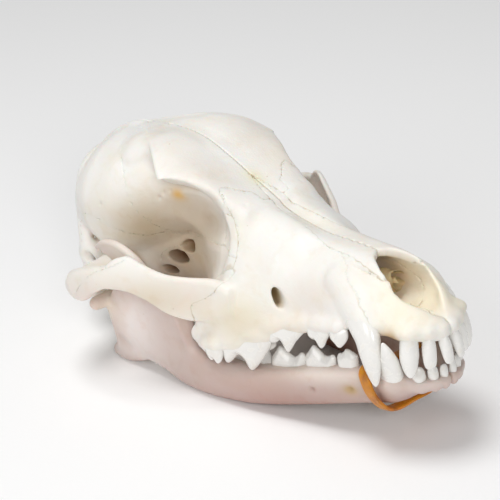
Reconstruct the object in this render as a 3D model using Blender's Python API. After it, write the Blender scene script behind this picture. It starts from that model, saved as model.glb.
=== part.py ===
"""A mesaticephalic dog's skull, lying as it rests on a level surface.

All sizes are millimetres in the skull's own frame until they are placed: +X runs forward to
the incisors, +Y to the animal's left, +Z up from the plane of the palate, with the origin at
the front of the upper jaw. The finished bones hang on one empty that turns them nose up, so
that the jaw stands on its angles and on the undersides of its bodies.
"""

import math

import bmesh
import bpy
import numpy as np
from mathutils import Matrix, Vector

MM = 0.001
GAP = 0.3
HALF_GAP = GAP / 2
REST_PITCH = 10.6
REST_FLAT = 0.35

VOXEL = 1.15
SKULL_FACES = 6500
JAW_FACES = 1250

BONE = (0.86, 0.82, 0.74)
JAW_BONE = (0.78, 0.68, 0.62)
RUBBER = (0.62, 0.25, 0.02)

# Half sections of the muzzle: x, then (y, z) from the palate's midline round to the roof's.
MUZZLE = (
    (-86, (0, 6), (10, 6), (11, 8), (11.5, 14), (12, 20),
     (13, 26), (14.5, 33), (15, 38), (10, 43), (0, 44)),
    (-82.5, (0, 4.5), (15, 2), (22, -3.2), (25.6, -1), (25.4, 4),
     (18, 9), (14.5, 20), (15, 33), (12, 42), (0, 42.8)),
    (-79, (0, 3.5), (16, 1), (25, -3.6), (28.6, -1), (28, 6),
     (21, 11), (15.5, 20), (15.5, 33), (11, 41), (0, 41.5)),
    (-72, (0, 3), (17, 1), (25.4, -3.8), (28.4, -0.5), (28, 6),
     (25, 12), (17, 20), (16.5, 32), (12, 38.4), (0, 37.6)),
    (-66, (0, 2.8), (17, 1), (25.6, -3.6), (27.8, 0.5), (27.2, 8),
     (25.6, 15), (21.6, 27), (18, 35), (8, 36.4), (0, 34.4)),
    (-61, (0, 2.6), (16.5, 1), (24.6, -2.4), (26.2, 2), (25.8, 9),
     (24.4, 16), (22.3, 26.5), (17.2, 32.5), (7, 34), (0, 31.6)),
    (-56, (0, 2.5), (15, 1), (22.8, -1.6), (24.2, 2.5), (23.3, 9),
     (21.6, 16), (18.4, 24.2), (13.8, 29.2), (5.5, 31.6), (0, 29.3)),
    (-50, (0, 2.5), (13.5, 1.5), (20.4, 0), (21.4, 4), (20.6, 10),
     (18.3, 17), (15, 22.7), (10.8, 26.6), (5, 28.9), (0, 27.2)),
    (-42, (0, 2.5), (12, 1.5), (17.6, 1), (18.3, 4.5), (17.4, 10),
     (15, 15.5), (12.2, 19.8), (9.2, 22.8), (5.4, 25.5), (0, 25.1)),
    (-33, (0, 2.2), (11, 1.5), (15.5, 1.8), (16, 5), (15.1, 9.7),
     (13, 14.2), (10.8, 17.7), (8.4, 20.8), (5.2, 23.6), (0, 24)),
    (-25, (0, 2), (10.8, 2), (15.6, 3.2), (16.2, 6.6), (15.2, 10.3),
     (13, 13.9), (10.8, 16.9), (8.4, 19.6), (5.2, 22.2), (0, 22.7)),
    (-18, (0, 1.5), (10, 2.2), (15.4, 4), (16.3, 7.4), (15, 10.6),
     (12.9, 13.2), (11, 15.5), (8.8, 18), (5.4, 20.7), (0, 21.4)),
    (-13, (0, 0.8), (9, 1), (13.4, 2.4), (14.3, 5.8), (13.2, 9),
     (11.4, 11.6), (10, 13.9), (8.6, 16.4), (5.4, 19.2), (0, 20)),
    (-8, (0, 0), (7.3, -0.2), (11.4, 0.8), (12.2, 3.6), (11.5, 6.3),
     (10.1, 8.5), (8.9, 10.3), (7.4, 11.5), (4, 12), (0, 12)),
    (-3, (0, -0.6), (5.2, -0.8), (8.4, 0.2), (9, 2.2), (8.4, 4.2),
     (7.3, 5.8), (6.2, 6.9), (5, 7.5), (2.6, 7.4), (0, 7)),
    (0.2, (0, -1), (2.8, -1.1), (5, -0.6), (5.6, 0.6), (5.2, 1.9),
     (4.4, 2.9), (3.6, 3.7), (2.6, 4.2), (1.2, 4.2), (0, 4)),
    (1.4, (0, -0.4), (1.4, -0.4), (2.6, -0.2), (2.9, 0.4), (2.7, 1),
     (2.2, 1.6), (1.8, 2), (1.3, 2.2), (0.6, 2.2), (0, 2.2)),
)

# Oval sections: x, centre height, half width, half height, squareness, widening toward the top.
BRAINCASE = (
    (-155.5, 30.5, 3, 3, 2, 0),
    (-154.5, 30.5, 9, 7, 2, 0),
    (-151, 30.2, 15.2, 12.6, 2, 0),
    (-146, 30.2, 19.8, 16.6, 2, 0),
    (-140, 30.6, 23.3, 19.8, 2, 0),
    (-130, 31.8, 26.7, 22.1, 2, 0),
    (-120, 33, 26.4, 21.9, 2, 0),
    (-112, 34.5, 24, 20.2, 2, 0.02),
    (-104, 35.5, 20.4, 18.2, 2.1, 0.1),
    (-96, 35.5, 17.6, 16.5, 2.1, 0.14),
    (-88, 34, 15.8, 15, 2.2, 0.12),
    (-78, 30, 14.6, 12.5, 2.3, 0),
    (-70, 26, 14, 9, 2.3, 0),
)
SKULL_BASE = (
    (-154, 15, 9, 4, 2.3, 0),
    (-145, 13, 11, 4.5, 2.3, 0),
    (-130, 12, 14, 5, 2.3, 0),
    (-120, 12, 13.4, 6, 2.3, 0),
    (-112, 13, 12, 7.6, 2.3, 0),
    (-104, 13.6, 10.6, 9, 2.3, 0),
    (-92, 15, 9.6, 10.5, 2.3, 0),
    (-80, 17, 12, 10, 2.3, 0),
)
FOREHEAD = (
    (-126, 52, 4, 3.2, 2.2, 0),
    (-116, 50.6, 10.5, 4.9, 2.3, 0),
    (-106, 49.2, 16, 5.6, 2.4, 0),
    (-98, 47.3, 20, 5.8, 2.4, 0),
    (-91.5, 45.8, 23.6, 5, 2.8, 0),
    (-87.5, 44.6, 24, 4, 3.2, 0),
    (-82.5, 42.8, 21.2, 3.4, 3.4, 0),
    (-77, 39.6, 19.4, 3.6, 3.2, 0),
    (-70, 36, 18.8, 3.2, 2.8, 0),
)
NASAL_CAVITY = (
    (4, 13, 2.6, 8, 2.2, 0),
    (0.4, 12.6, 2.9, 8.2, 2.2, 0.1),
    (-3, 12.7, 4.3, 8.2, 2.2, 0.1),
    (-8, 12.2, 6.9, 8.2, 2.2, 0.05),
    (-12.5, 11.9, 7.8, 7.6, 2.2, 0),
    (-17, 12, 8, 7.4, 2.2, -0.12),
    (-25, 12.2, 7.8, 7.6, 2.2, -0.12),
    (-35, 12.8, 8, 7.6, 2.2, -0.1),
    (-42, 13, 5, 5, 2.2, 0),
)
THROAT = (
    (-112, 2, 3, 2.4, 2, 0),
    (-100, 4, 6, 4.4, 2.2, 0),
    (-88, 5.6, 6, 5.4, 2.2, 0),
    (-80, 6.6, 5.6, 5.2, 2.2, 0),
    (-76, 7, 4, 3.6, 2.2, 0),
)

# Tall thin sections: x, bottom, top, y at each, half thickness at each, outward bow.
PALATE_WINGS = (
    (-118, 8, 14, 10.4, 12, 1.4, 2, 0),
    (-110, 5, 16, 9.4, 11, 1.4, 2, 0),
    (-104, 2.6, 18, 8.6, 10, 1.2, 2, 0),
    (-98, 2.2, 18, 8.3, 9.6, 0.9, 2.4, 0),
    (-90, 2.4, 20, 8.6, 9.6, 1.2, 3, 0),
    (-82, 1.6, 22, 9.6, 11, 2.6, 4, 0),
    (-76, 1.4, 20, 12, 12, 5, 5, 0),
)
ARCH = (
    (-63, 5, 20, 25, 25.6, 3, 2.4, 0),
    (-69, 3, 19.4, 26.4, 27.9, 3.2, 1.8, 0),
    (-75, 3.2, 19.8, 29.9, 31.5, 2.4, 1.7, 0.3),
    (-81, 6.6, 21.6, 35, 36.4, 1.8, 1.5, 0.8),
    (-87, 12.4, 24.6, 39.6, 39.4, 1.7, 1.3, 1),
    (-92, 15.6, 25.6, 42.8, 41.4, 1.8, 1.3, 0.9),
    (-98, 16.4, 24, 45.2, 44, 2, 1.6, 0.7),
    (-105, 14.4, 23.2, 46.6, 45.8, 2.1, 1.9, 0.5),
    (-112, 11, 22.2, 46.8, 46.2, 1.9, 2.2, 0.4),
    (-117.5, 11, 21, 45, 44.8, 2.3, 2.7, 0.3),
    (-121, 13, 19.6, 42.5, 42, 3, 3, 0),
)
JAW_BODY = (
    (-0.6, -15, -13.6, 1.6, 2.1, 2.2, 2.7, 0),
    (-3, -16.2, -13.4, 2.9, 4.1, 3.5, 4.7, 0),
    (-6, -17.4, -13, 3.5, 5.4, 4.1, 6, 0),
    (-11, -19.8, -12.2, 4.1, 8.2, 4.7, 6, 0.2),
    (-17.2, -22.8, -11, 4.2, 11, 4.8, 4.8, 0.6),
    (-25, -23.6, -10.2, 7.6, 13.2, 4, 3.4, 0.6),
    (-35, -24, -11, 12.2, 15.1, 4, 3, 0.8),
    (-46, -24.8, -12.2, 16.2, 17, 3.8, 3, 1),
    (-56, -25.6, -13.4, 19.6, 19.2, 3.8, 3.4, 1),
    (-66, -26, -13.4, 22.6, 21.6, 3.7, 3.6, 1),
    (-76, -25.4, -12, 25, 24.4, 3.4, 3.4, 1),
    (-84, -24.2, -9, 26.6, 27, 3, 3, 0.8),
    (-92, -21.8, -4, 27.8, 29, 2.8, 2.4, 0.4),
    (-100, -17.8, 0, 28.6, 31, 2.7, 2.2, 0.2),
    (-108, -15.8, 3, 29.4, 32, 2.6, 2.2, 0),
    (-114, -16, 5, 30, 31.6, 2.4, 2.2, 0),
    (-120.6, -15.6, 5, 30.6, 31.4, 2.2, 2.4, 0),
)
JAW_BRANCH = (
    (-81, -16, -10, 26.4, 27.4, 2.4, 1.8, 0),
    (-84.2, -15, -7.4, 26.6, 28, 2.5, 2.2, 0),
    (-85.6, -14, 3, 27, 29, 2.6, 3.4, 0),
    (-88.6, -12, 13.6, 27.8, 31.6, 2.6, 2.8, 0.1),
    (-92, -12, 20.4, 28.6, 33.8, 2.4, 2, 0.2),
    (-96.5, -12, 25, 29.2, 35.4, 2.2, 1.4, 0.4),
    (-102, -12, 27.8, 29.8, 36.4, 2, 1.1, 0.4),
    (-108, -12, 28, 30.2, 36.8, 2, 1.1, 0.4),
    (-112, -11, 22, 30.6, 36, 1.9, 1.2, 0.2),
    (-114.2, -8, 9.2, 31, 33.6, 2, 1.5, 0),
    (-119, -6, 6, 31, 32.4, 1.8, 1.6, 0),
)

# Swept ovals: x, y, z, half width across, half width along the given direction.
CAP_ANGLES = (0.55, 1.0, 1.35)
CANINE_SWELLING = (
    (-16.5, 14.6, 4, 2.8, 4.4), (-20, 13.8, 9.5, 2.6, 4), (-26, 12, 14, 2.4, 3.4),
    (-31, 10.8, 16.4, 2, 2.6),
)
BROW_EDGE = ((-98, 19.3, 48, 2.5, 3), (-92, 22.5, 47, 2.4, 2.8), (-88.4, 24, 45.2, 2, 2.2))
TEMPORAL_ROOT = (
    (-116, 45.6, 16.5, 2.6, 4.6), (-121.5, 42.8, 16.2, 3, 4.4), (-125, 38, 16, 3.6, 4),
    (-126.5, 32, 16, 4.5, 3.6), (-126, 26, 18, 5, 4),
)
HINGE_STOP = ((-127.5, 31, 13, 4.5, 2.4), (-127.5, 31.5, 7, 4, 1.9), (-126.5, 31.5, 4.2, 2.4, 1.3))
NECK_PROCESS = ((-143.5, 19.5, 15, 5, 2.6), (-145, 19.5, 7, 3.2, 1.9), (-144.6, 19.3, 1, 1.6, 1.1))
NUCHAL_CREST = (
    (-156.2, 0, 41.6, 2.4, 2), (-155.2, 5, 41.2, 1.6, 2.4), (-152.3, 11, 38.2, 1.5, 2.6),
    (-148.3, 16.3, 32.2, 1.5, 2.6), (-144.3, 20.4, 24.5, 1.6, 2.6), (-141.5, 23, 17, 2, 2.8),
    (-140.5, 23.6, 11.5, 2.4, 2.8),
)
SAGITTAL_CREST = (
    (-156, 0, 40.2, 1.5, 2.6), (-150, 0, 44.8, 1.4, 2.6), (-142, 0, 49, 1.4, 2.4),
    (-134, 0, 52, 1.4, 2.2), (-126, 0, 53.8, 1.4, 1.6),
)
JAW_HINGE = ((-118.4, 23, 5.2, 2.4, 2.2), (-119, 30, 5.6, 2.8, 2.5), (-119.5, 38, 5.4, 2.4, 2.3))
HINGE_NECK = ((-112, 30.6, -6, 2.4, 5.5), (-117, 31, 0, 2.4, 4), (-118.5, 31, 4, 2.4, 3))
JAW_ANGLE = ((-112, 30, -12.5, 2.6, 4), (-118, 30.6, -13.6, 2.5, 4), (-122.8, 31, -14, 2.1, 2.4))
CHIN_SWELLING = ((-13, 11, -13, 4, 4.6), (-17, 9.6, -16.5, 3.8, 4.4), (-24, 10.5, -18, 3, 3.4))
CANAL = ((-45, 22.8, 11.6, 1.7, 3.6), (-50, 19.5, 12.2, 1.7, 3.4), (-56, 18, 12.6, 1.6, 2.6))

# Rounded masses: centre, radii, turn about Z in degrees.
ROUND_MASSES = (
    ((-101, 12, 46.3), (22, 11.5, 8.6), -8),
    ((-121, 34, 13.6), (7, 10.5, 3.2), 0),
    ((-133.5, 15.5, 8), (11, 8, 8.5), 12),
    ((-139, 22.2, 15), (4.2, 4, 4), 0),
    ((-152, 9.5, 14), (6, 4.8, 7), 25),
)
HOLLOWS = (
    ((-80.5, 29, 31.6), (19.3, 14.5, 14.6), 0),
    ((-119.8, 32.5, 7.9), (5, 12, 3.6), 0),
    ((-104.5, 10.8, 14.5), (3.6, 3.6, 2.4), 40),
    ((-98, 10.8, 18.6), (2.6, 2.8, 1.7), 40),
)
FORAMEN_MAGNUM = ((-159, 0, 19.5), (9, 7.6, 7), 0)
NASAL_NOTCH = ((-8.5, 0, 22.5), (12.8, 6.3, 5.5), 0)

# Side outlines (x, z) where one bone meets the next.
MUZZLE_REGION = (
    (-64, 62), (-65, 40), (-65.5, 21), (-71, 17), (-79, 14), (-84, 9), (-85, -12), (12, -12), (12, 62),
)
CHEEK_REGION = (
    (-63.5, 27), (-61.5, 22), (-66, 14), (-73.5, 10.5), (-79.8, 2.8), (-87, 2.4), (-90, -6), (-120, -6),
    (-116.5, 9), (-111.5, 15.4), (-105.8, 19.3), (-99.7, 22.4), (-91, 25.6), (-90, 32), (-72, 32),
)
CHEEK_START = 24.5
CHEEK_END = 60
FLOOR_REGION = ((-200, -20), (200, -20), (200, 0), (-200, 0))
CHIN_REGION = ((-60, -40), (12, -40), (12, 10), (-60, 10))
CHIN_CUT_REACH = 20
NASAL_SEAM = (
    (-77, 0.9, 40.5), (-72, 2.6, 38.6), (-66, 3.8, 35.6), (-60, 4.3, 32.8), (-52, 4.7, 29),
    (-42, 5.4, 25.6),
    (-33, 6, 23.4), (-24, 7, 21.4), (-17, 8.2, 19.6), (-11, 9.4, 19),
)
NASAL_DEPTH = 2.7

# Cheek teeth: name, x, y at the gum, length along the jaw, width across, crown height, lean outward, cusps.
UPPER_CHEEK_TEETH = (
    ("p1", -30.4, 15.9, 8.4, 3.8, 5.6, 0.16, "peg"),
    ("p2", -38.8, 17, 10.4, 4.4, 6.6, 0.14, "blade"),
    ("p3", -48.8, 19.8, 13.6, 4.8, 7.6, 0.14, "blade"),
    ("p4", -62.4, 25, 18.4, 7, 11.6, 0.16, "shear"),
    ("m1", -73.2, 25.4, 10.4, 11, 6.2, 0.2, "grinder"),
    ("m2", -80.4, 24.4, 6.2, 8.4, 4, 0.12, "grinder"),
)
LOWER_CHEEK_TEETH = (
    ("p2", -29.8, 14.6, 9.2, 3.8, 5.2, 0.02, "sloped"),
    ("p3", -40.4, 16.2, 12.6, 4.4, 6.4, 0, "sloped"),
    ("p4", -52.6, 18, 12.8, 5, 6.6, -0.06, "sloped"),
    ("m1", -67.8, 20.4, 18.4, 6.2, 8, -0.14, "shear"),
    ("m2", -80.6, 22.4, 7.4, 5.2, 3.4, -0.1, "grinder"),
)
# Cusps of a cheek tooth: place along it, share of its length and width, height.
BODY_CUSP = (0, 0.98, 1, 0.5)
CUSPS = {
    "peg": ((0.04, 0.92, 0.8, 1),),
    "blade": ((0.06, 0.82, 0.8, 1), (-0.32, 0.36, 0.6, 0.66)),
    "sloped": ((-0.1, 0.8, 0.8, 1), (0.34, 0.34, 0.6, 0.6)),
    "shear": ((0.12, 0.6, 0.76, 1), (-0.28, 0.48, 0.7, 0.66), (0.4, 0.22, 0.5, 0.5)),
    "grinder": ((0.1, 0.7, 0.8, 1), (-0.28, 0.44, 0.7, 0.84)),
}
UPPER_GUM = (
    (-84, -2.5), (-72, -2.2), (-60, -1.2), (-50, 0.8), (-38, 1.8), (-26, 2.6), (-8, 1.6), (-2, 0.2),
    (0, -0.2),
)
LOWER_GUM = (
    (-84, -9.6), (-76, -12), (-66, -13.6), (-56, -13.6), (-46, -12.4), (-25, -10.4), (-10, -13.4),
    (0, -14),
)
BODY_LEVELS = ((-0.7, 0.82), (0.2, 1), (1, 0.66))
CUSP_LEVELS = ((0, 1), (0.5, 0.78), (1, 0.18))
TOOTH_SIDES = 7
INCISOR_DEPTH = 0.46
INCISOR_LEVELS = ((-0.3, 0.75, 0.8), (0.1, 0.9, 0.95), (0.6, 1, 0.75), (1, 0.66, 0.26))
CUSP_SIDES = 6

# Front teeth: name, x, y at the gum, width, crown height, reach of the tip forward and outward, turn.
UPPER_INCISORS = (
    ("i1", 0, 2, 3.7, 8.4, 1.7, 0.5, 10),
    ("i2", -1.6, 5.9, 4.4, 9.2, 0.7, 1.6, 30),
    ("i3", -5, 10, 5.6, 11.4, 0.3, 1.9, 55),
)
LOWER_INCISORS = (
    ("i1", -2, 1.8, 2.8, 4.4, 1.1, 0.3, 10),
    ("i2", -3.4, 4.8, 3.4, 4.6, 0.9, 0.8, 30),
    ("i3", -6.2, 7.6, 4, 5, 0.6, 1.2, 50),
)
UPPER_CANINE = (
    (-22, 13.4, 8, 3.2, 4.6), (-17.2, 15.8, 3, 3.1, 4.4), (-16, 16.9, -3, 2.5, 3.5),
    (-14.8, 17.3, -9, 1.7, 2.2), (-14.4, 17.3, -12.4, 0.7, 0.8),
)
BAND = (
    (-20.5, 0, -24.6), (-20.5, 4.8, -24.5), (-20.3, 9, -24), (-20, 12.4, -22.4), (-19.5, 14.8, -19.4),
    (-19.1, 16.3, -16), (-18.9, 16.8, -12.8), (-19.2, 16.2, -9.9), (-19.6, 14.2, -8.7),
    (-19.9, 7.5, -10), (-19.9, 0, -10.2),
)
BAND_WIDTH = 3.8
BAND_THICKNESS = 1.2
BAND_SECTION = ((1, 0), (0.8, 1), (-0.8, 1), (-1, 0), (-0.8, -1), (0.8, -1))
LOWER_CANINE = (
    (-17, 10.4, -17, 2.8, 4.2), (-13, 12, -11.5, 2.8, 3.9), (-10.2, 14, -6, 2.3, 2.9),
    (-9.4, 15.7, -1.4, 1.4, 1.7), (-9.6, 16.3, 0.9, 0.6, 0.7),
)


def between(stations, x):
    """The row of a table at x, each column following a smooth monotone curve through its stations."""
    table = np.array(sorted(stations), dtype=float)
    places = table[:, 0]
    x = min(max(x, places[0]), places[-1])
    i = min(max(int(np.searchsorted(places, x)) - 1, 0), len(places) - 2)
    steps = np.diff(places)
    slopes = np.diff(table, axis=0) / steps[:, None]
    tangents = np.vstack([slopes[0], slopes, slopes[-1]])
    low, high = tangents[:-1], tangents[1:]
    same = low * high > 0
    total = np.where(same, low + high, 1.0)
    tangents = np.where(same, 2 * low * high / total, 0.0)
    t = (x - places[i]) / steps[i]
    a, b = table[i], table[i + 1]
    ma, mb = tangents[i] * steps[i], tangents[i + 1] * steps[i]
    rise = 3 * t**2 - 2 * t**3
    return (1 - rise) * a + rise * b + (t**3 - 2 * t**2 + t) * ma + (t**3 - t**2) * mb


def swept(points, per_span):
    """A smooth curve through rows of numbers, with per_span steps between two rows."""
    rows = np.array(points, dtype=float)
    rows = np.vstack([2 * rows[0] - rows[1], rows, 2 * rows[-1] - rows[-2]])
    curve = []
    for a, b, c, d in zip(rows[:-3], rows[1:-2], rows[2:-1], rows[3:]):
        for t in np.arange(per_span) / per_span:
            bend = (2 * a - 5 * b + 4 * c - d) * t**2 + (3 * b - a - 3 * c + d) * t**3
            curve.append(0.5 * (2 * b + (c - a) * t + bend))
    curve.append(rows[-2])
    return np.array(curve)


def link(name, bm):
    """Turn a bmesh into a scene object in metres, faces pointing out."""
    bmesh.ops.recalc_face_normals(bm, faces=bm.faces)
    bmesh.ops.scale(bm, vec=(MM, MM, MM), verts=bm.verts)
    mesh = bpy.data.meshes.new(name)
    bm.to_mesh(mesh)
    bm.free()
    obj = bpy.data.objects.new(name, mesh)
    bpy.context.scene.collection.objects.link(obj)
    return obj


def bridge(name, rings):
    """A closed form through rings of the same number of points, its two ends filled."""
    bm = bmesh.new()
    loops = [[bm.verts.new(point) for point in ring] for ring in rings]
    count = len(rings[0])
    for low, high in zip(loops[:-1], loops[1:]):
        for i in range(count):
            j = (i + 1) % count
            bm.faces.new((low[i], low[j], high[j], high[i]))
    bm.faces.new(loops[0])
    bm.faces.new(reversed(loops[-1]))
    return link(name, bm)


def muzzle_form(name, step=1.6):
    """The muzzle: its half sections mirrored into rings and carried along x."""
    flat = [(row[0], *[value for point in row[1:] for value in point]) for row in MUZZLE]
    places = np.arange(MUZZLE[0][0], MUZZLE[-1][0] + 0.01, step)
    rings = []
    for x in [*places, MUZZLE[-1][0]]:
        half = between(flat, x)[1:].reshape(-1, 2)
        half = swept(half, 3)
        ring = [(x, y, z) for y, z in half]
        ring += [(x, -y, z) for y, z in half[-2:0:-1]]
        rings.append(ring)
    return bridge(name, rings)


def oval_form(name, stations, sides=36, step=1.8):
    """Superellipse sections carried along x."""
    xs = [row[0] for row in stations]
    rings = []
    for x in np.linspace(min(xs), max(xs), int((max(xs) - min(xs)) / step) + 2):
        _, height, wide, tall, square, spread = between(stations, x)
        ring = []
        for angle in np.linspace(0, 2 * math.pi, sides, endpoint=False):
            c, s = math.cos(angle), math.sin(angle)
            v = math.copysign(abs(s) ** (2 / square), s)
            u = math.copysign(abs(c) ** (2 / square), c)
            ring.append((x, wide * (1 + spread * v) * u, height + tall * v))
        rings.append(ring)
    return bridge(name, rings)


def slab_form(name, stations, side, step=1.8):
    """Tall thin sections with rounded edges carried along x, on one side of the midline."""
    xs = [row[0] for row in stations]
    rings = []
    for x in np.linspace(min(xs), max(xs), int((max(xs) - min(xs)) / step) + 2):
        _, low, high, y_low, y_high, thick_low, thick_high, bow = between(stations, x)
        ring = []
        for angle in np.linspace(0, 2 * math.pi, 28, endpoint=False):
            c, s = math.cos(angle), math.sin(angle)
            v = 0.5 + 0.5 * math.copysign(abs(s) ** 0.55, s)
            middle = y_low + (y_high - y_low) * v + 4 * bow * v * (1 - v)
            thick = thick_low + (thick_high - thick_low) * v
            u = math.copysign(abs(c) ** 0.55, c)
            ring.append((x, side * (middle + thick * u), low + (high - low) * v))
        rings.append(ring)
    return bridge(name, rings)


def tube_form(name, points, side, up, sides=14, per_span=4, round_ends=True):
    """An oval carried along a smooth path; up is the direction of its second half width."""
    path = swept(points, per_span)
    spine = path[:, :3] * (1, side, 1)
    tangents = np.gradient(spine, axis=0)
    tangents /= np.linalg.norm(tangents, axis=1)[:, None]
    frames = list(zip(spine, tangents, path[:, 3], path[:, 4]))
    if round_ends:
        for end, way in ((0, -1), (-1, 1)):
            centre, tangent, across, along = frames[end]
            reach = min(across, along)
            cap = []
            for a in CAP_ANGLES:
                place = centre + tangent * way * reach * math.sin(a)
                cap.append((place, tangent, across * math.cos(a), along * math.cos(a)))
            frames = cap[::-1] + frames if end == 0 else frames + cap
    rings = []
    for centre, tangent, across, along in frames:
        first = np.array(up, dtype=float)
        first -= tangent * first.dot(tangent)
        first /= np.linalg.norm(first)
        second = np.cross(tangent, first)
        angles = np.linspace(0, 2 * math.pi, sides, endpoint=False)
        rings.append([centre + first * along * math.cos(a) + second * across * math.sin(a) for a in angles])
    return bridge(name, rings)


def ball_form(name, mass, side, detail=3):
    """An ellipsoid turned about Z, mirrored to the chosen side."""
    centre, radii, turn = mass
    bm = bmesh.new()
    bmesh.ops.create_icosphere(bm, subdivisions=detail, radius=1)
    place = (
        Matrix.Translation(Vector((centre[0], side * centre[1], centre[2])))
        @ Matrix.Rotation(math.radians(side * turn), 4, "Z")
        @ Matrix.Diagonal((*radii, 1))
    )
    bmesh.ops.transform(bm, matrix=place, verts=bm.verts)
    return link(name, bm)


def prism(name, outline, y0, y1, grow=0.0):
    """A side outline (x, z) moved out by grow and carried across from y0 to y1."""
    points = np.array(outline, dtype=float)
    before, after = np.roll(points, 1, axis=0), np.roll(points, -1, axis=0)
    turn = np.sum(points[:, 0] * after[:, 1] - after[:, 0] * points[:, 1])
    way = 1 if turn > 0 else -1
    moved = []
    for a, b, c in zip(before, points, after):
        n1 = np.array(((b - a)[1], -(b - a)[0])) / np.linalg.norm(b - a)
        n2 = np.array(((c - b)[1], -(c - b)[0])) / np.linalg.norm(c - b)
        moved.append(b + way * grow * (n1 + n2) / (1 + n1.dot(n2)))
    rings = [[(x, y, z) for x, z in moved] for y in (y0 - grow, y1 + grow)]
    return bridge(name, rings)


def evaluated(obj):
    """A copy of an object's mesh with its modifiers worked in."""
    graph = bpy.context.evaluated_depsgraph_get()
    return bpy.data.meshes.new_from_object(obj.evaluated_get(graph), depsgraph=graph)


def settle(obj):
    """Work an object's modifiers into its own mesh."""
    mesh = evaluated(obj)
    obj.modifiers.clear()
    old = obj.data
    obj.data = mesh
    bpy.data.meshes.remove(old)


def discard(objects):
    """Remove construction objects and their meshes."""
    for obj in objects:
        mesh = obj.data
        bpy.data.objects.remove(obj)
        bpy.data.meshes.remove(mesh)


def is_closed(mesh):
    """Whether every edge of a mesh has exactly two faces."""
    bm = bmesh.new()
    bm.from_mesh(mesh)
    closed = len(bm.faces) > 0 and all(len(edge.link_faces) == 2 for edge in bm.edges)
    bm.free()
    return closed


def combine(obj, others, operation):
    """Boolean a list of closed objects onto obj as one collection, then remove them."""
    tools = bpy.data.collections.new("tools")
    bpy.context.scene.collection.children.link(tools)
    for other in others:
        tools.objects.link(other)
        other.display_type = "WIRE"
        other.hide_render = True
    for solver in ("EXACT", "MANIFOLD"):
        boolean = obj.modifiers.new(operation.lower(), "BOOLEAN")
        boolean.operation = operation
        boolean.operand_type = "COLLECTION"
        boolean.collection = tools
        boolean.solver = solver
        mesh = evaluated(obj)
        obj.modifiers.clear()
        if is_closed(mesh):
            break
    obj.data = mesh
    bpy.data.collections.remove(tools)
    discard(others)


def fuse(name, forms, hollows, faces):
    """Grow overlapping closed forms together into one skin, hollow it, then thin its faces out."""
    bm = bmesh.new()
    for form in forms:
        bm.from_mesh(form.data)
    mesh = bpy.data.meshes.new(name)
    bm.to_mesh(mesh)
    bm.free()
    discard(forms)
    whole = bpy.data.objects.new(name, mesh)
    bpy.context.scene.collection.objects.link(whole)
    remesh = whole.modifiers.new("skin", "REMESH")
    remesh.mode = "VOXEL"
    remesh.voxel_size = VOXEL * MM
    remesh.use_smooth_shade = True
    soften = whole.modifiers.new("soften", "SMOOTH")
    soften.factor = 0.5
    soften.iterations = 3
    settle(whole)
    if hollows:
        combine(whole, hollows, "DIFFERENCE")
    thin_out(whole, faces)
    return whole


def thin_out(obj, faces):
    """Collapse edges until about this many triangles are left."""
    triangles = sum(len(polygon.vertices) - 2 for polygon in obj.data.polygons)
    if triangles > faces:
        collapse = obj.modifiers.new("collapse", "DECIMATE")
        collapse.ratio = faces / triangles
        collapse.use_collapse_triangulate = True
        settle(obj)


def keep_largest(obj):
    """Keep only an object's largest connected surface."""
    bm = bmesh.new()
    bm.from_mesh(obj.data)
    unseen = set(bm.verts)
    islands = []
    while unseen:
        stack = [unseen.pop()]
        island = set(stack)
        while stack:
            for edge in stack.pop().link_edges:
                for vert in edge.verts:
                    if vert in unseen:
                        unseen.remove(vert)
                        island.add(vert)
                        stack.append(vert)
        islands.append(island)
    islands.sort(key=len)
    for island in islands[:-1]:
        bmesh.ops.delete(bm, geom=list(island), context="VERTS")
    bmesh.ops.triangulate(bm, faces=bm.faces)
    bm.to_mesh(obj.data)
    bm.free()


def copy_of(obj, name):
    """A second object with its own copy of the mesh."""
    twin = bpy.data.objects.new(name, obj.data.copy())
    bpy.context.scene.collection.objects.link(twin)
    return twin


def part_off(whole, name, inner, outer):
    """Split the part of whole inside a region into a new object, leaving the gap between the two."""
    piece = copy_of(whole, name)
    combine(piece, [inner], "INTERSECT")
    combine(whole, [outer], "DIFFERENCE")
    keep_largest(piece)
    return piece


def nasal_region(name, side, grow):
    """The block that holds one nasal bone: from the midline out to its seam, NASAL_DEPTH deep."""
    rings = []
    rows = swept(NASAL_SEAM, 2)
    rows[0, 0] -= grow
    rows[-1, 0] += grow
    for x, y, z in rows:
        near, far = HALF_GAP - grow, y + grow
        low, high = z - NASAL_DEPTH - grow, z + 9
        ring = [(near, low), (far, low + 0.6), (far, high), (near, high)]
        rings.append([(x, side * a, b) for a, b in ring])
    return bridge(name, rings)


def cone_tooth(name, points, side):
    """A long curved tooth with its root."""
    return tube_form(name, points, side, (1, 0, 0), sides=8, per_span=1, round_ends=False)


def incisor(name, row, side, down, gum):
    """A spade-shaped front tooth: an oval root widening to a flat edge."""
    _, x, y, wide, crown, forward, outward, turn = row
    turn = math.radians(side * turn)
    rings = []
    for level, across, through in INCISOR_LEVELS:
        ring = []
        for angle in np.linspace(0, 2 * math.pi, TOOTH_SIDES, endpoint=False):
            a = math.cos(angle) * through * wide * INCISOR_DEPTH
            b = math.sin(angle) * across * wide / 2
            px = x + forward * level + a * math.cos(turn) - b * math.sin(turn)
            py = side * (y + outward * level) + a * math.sin(turn) + b * math.cos(turn)
            ring.append((px, py, gum + down * level * crown))
        rings.append(ring)
    return bridge(name, rings)


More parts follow.
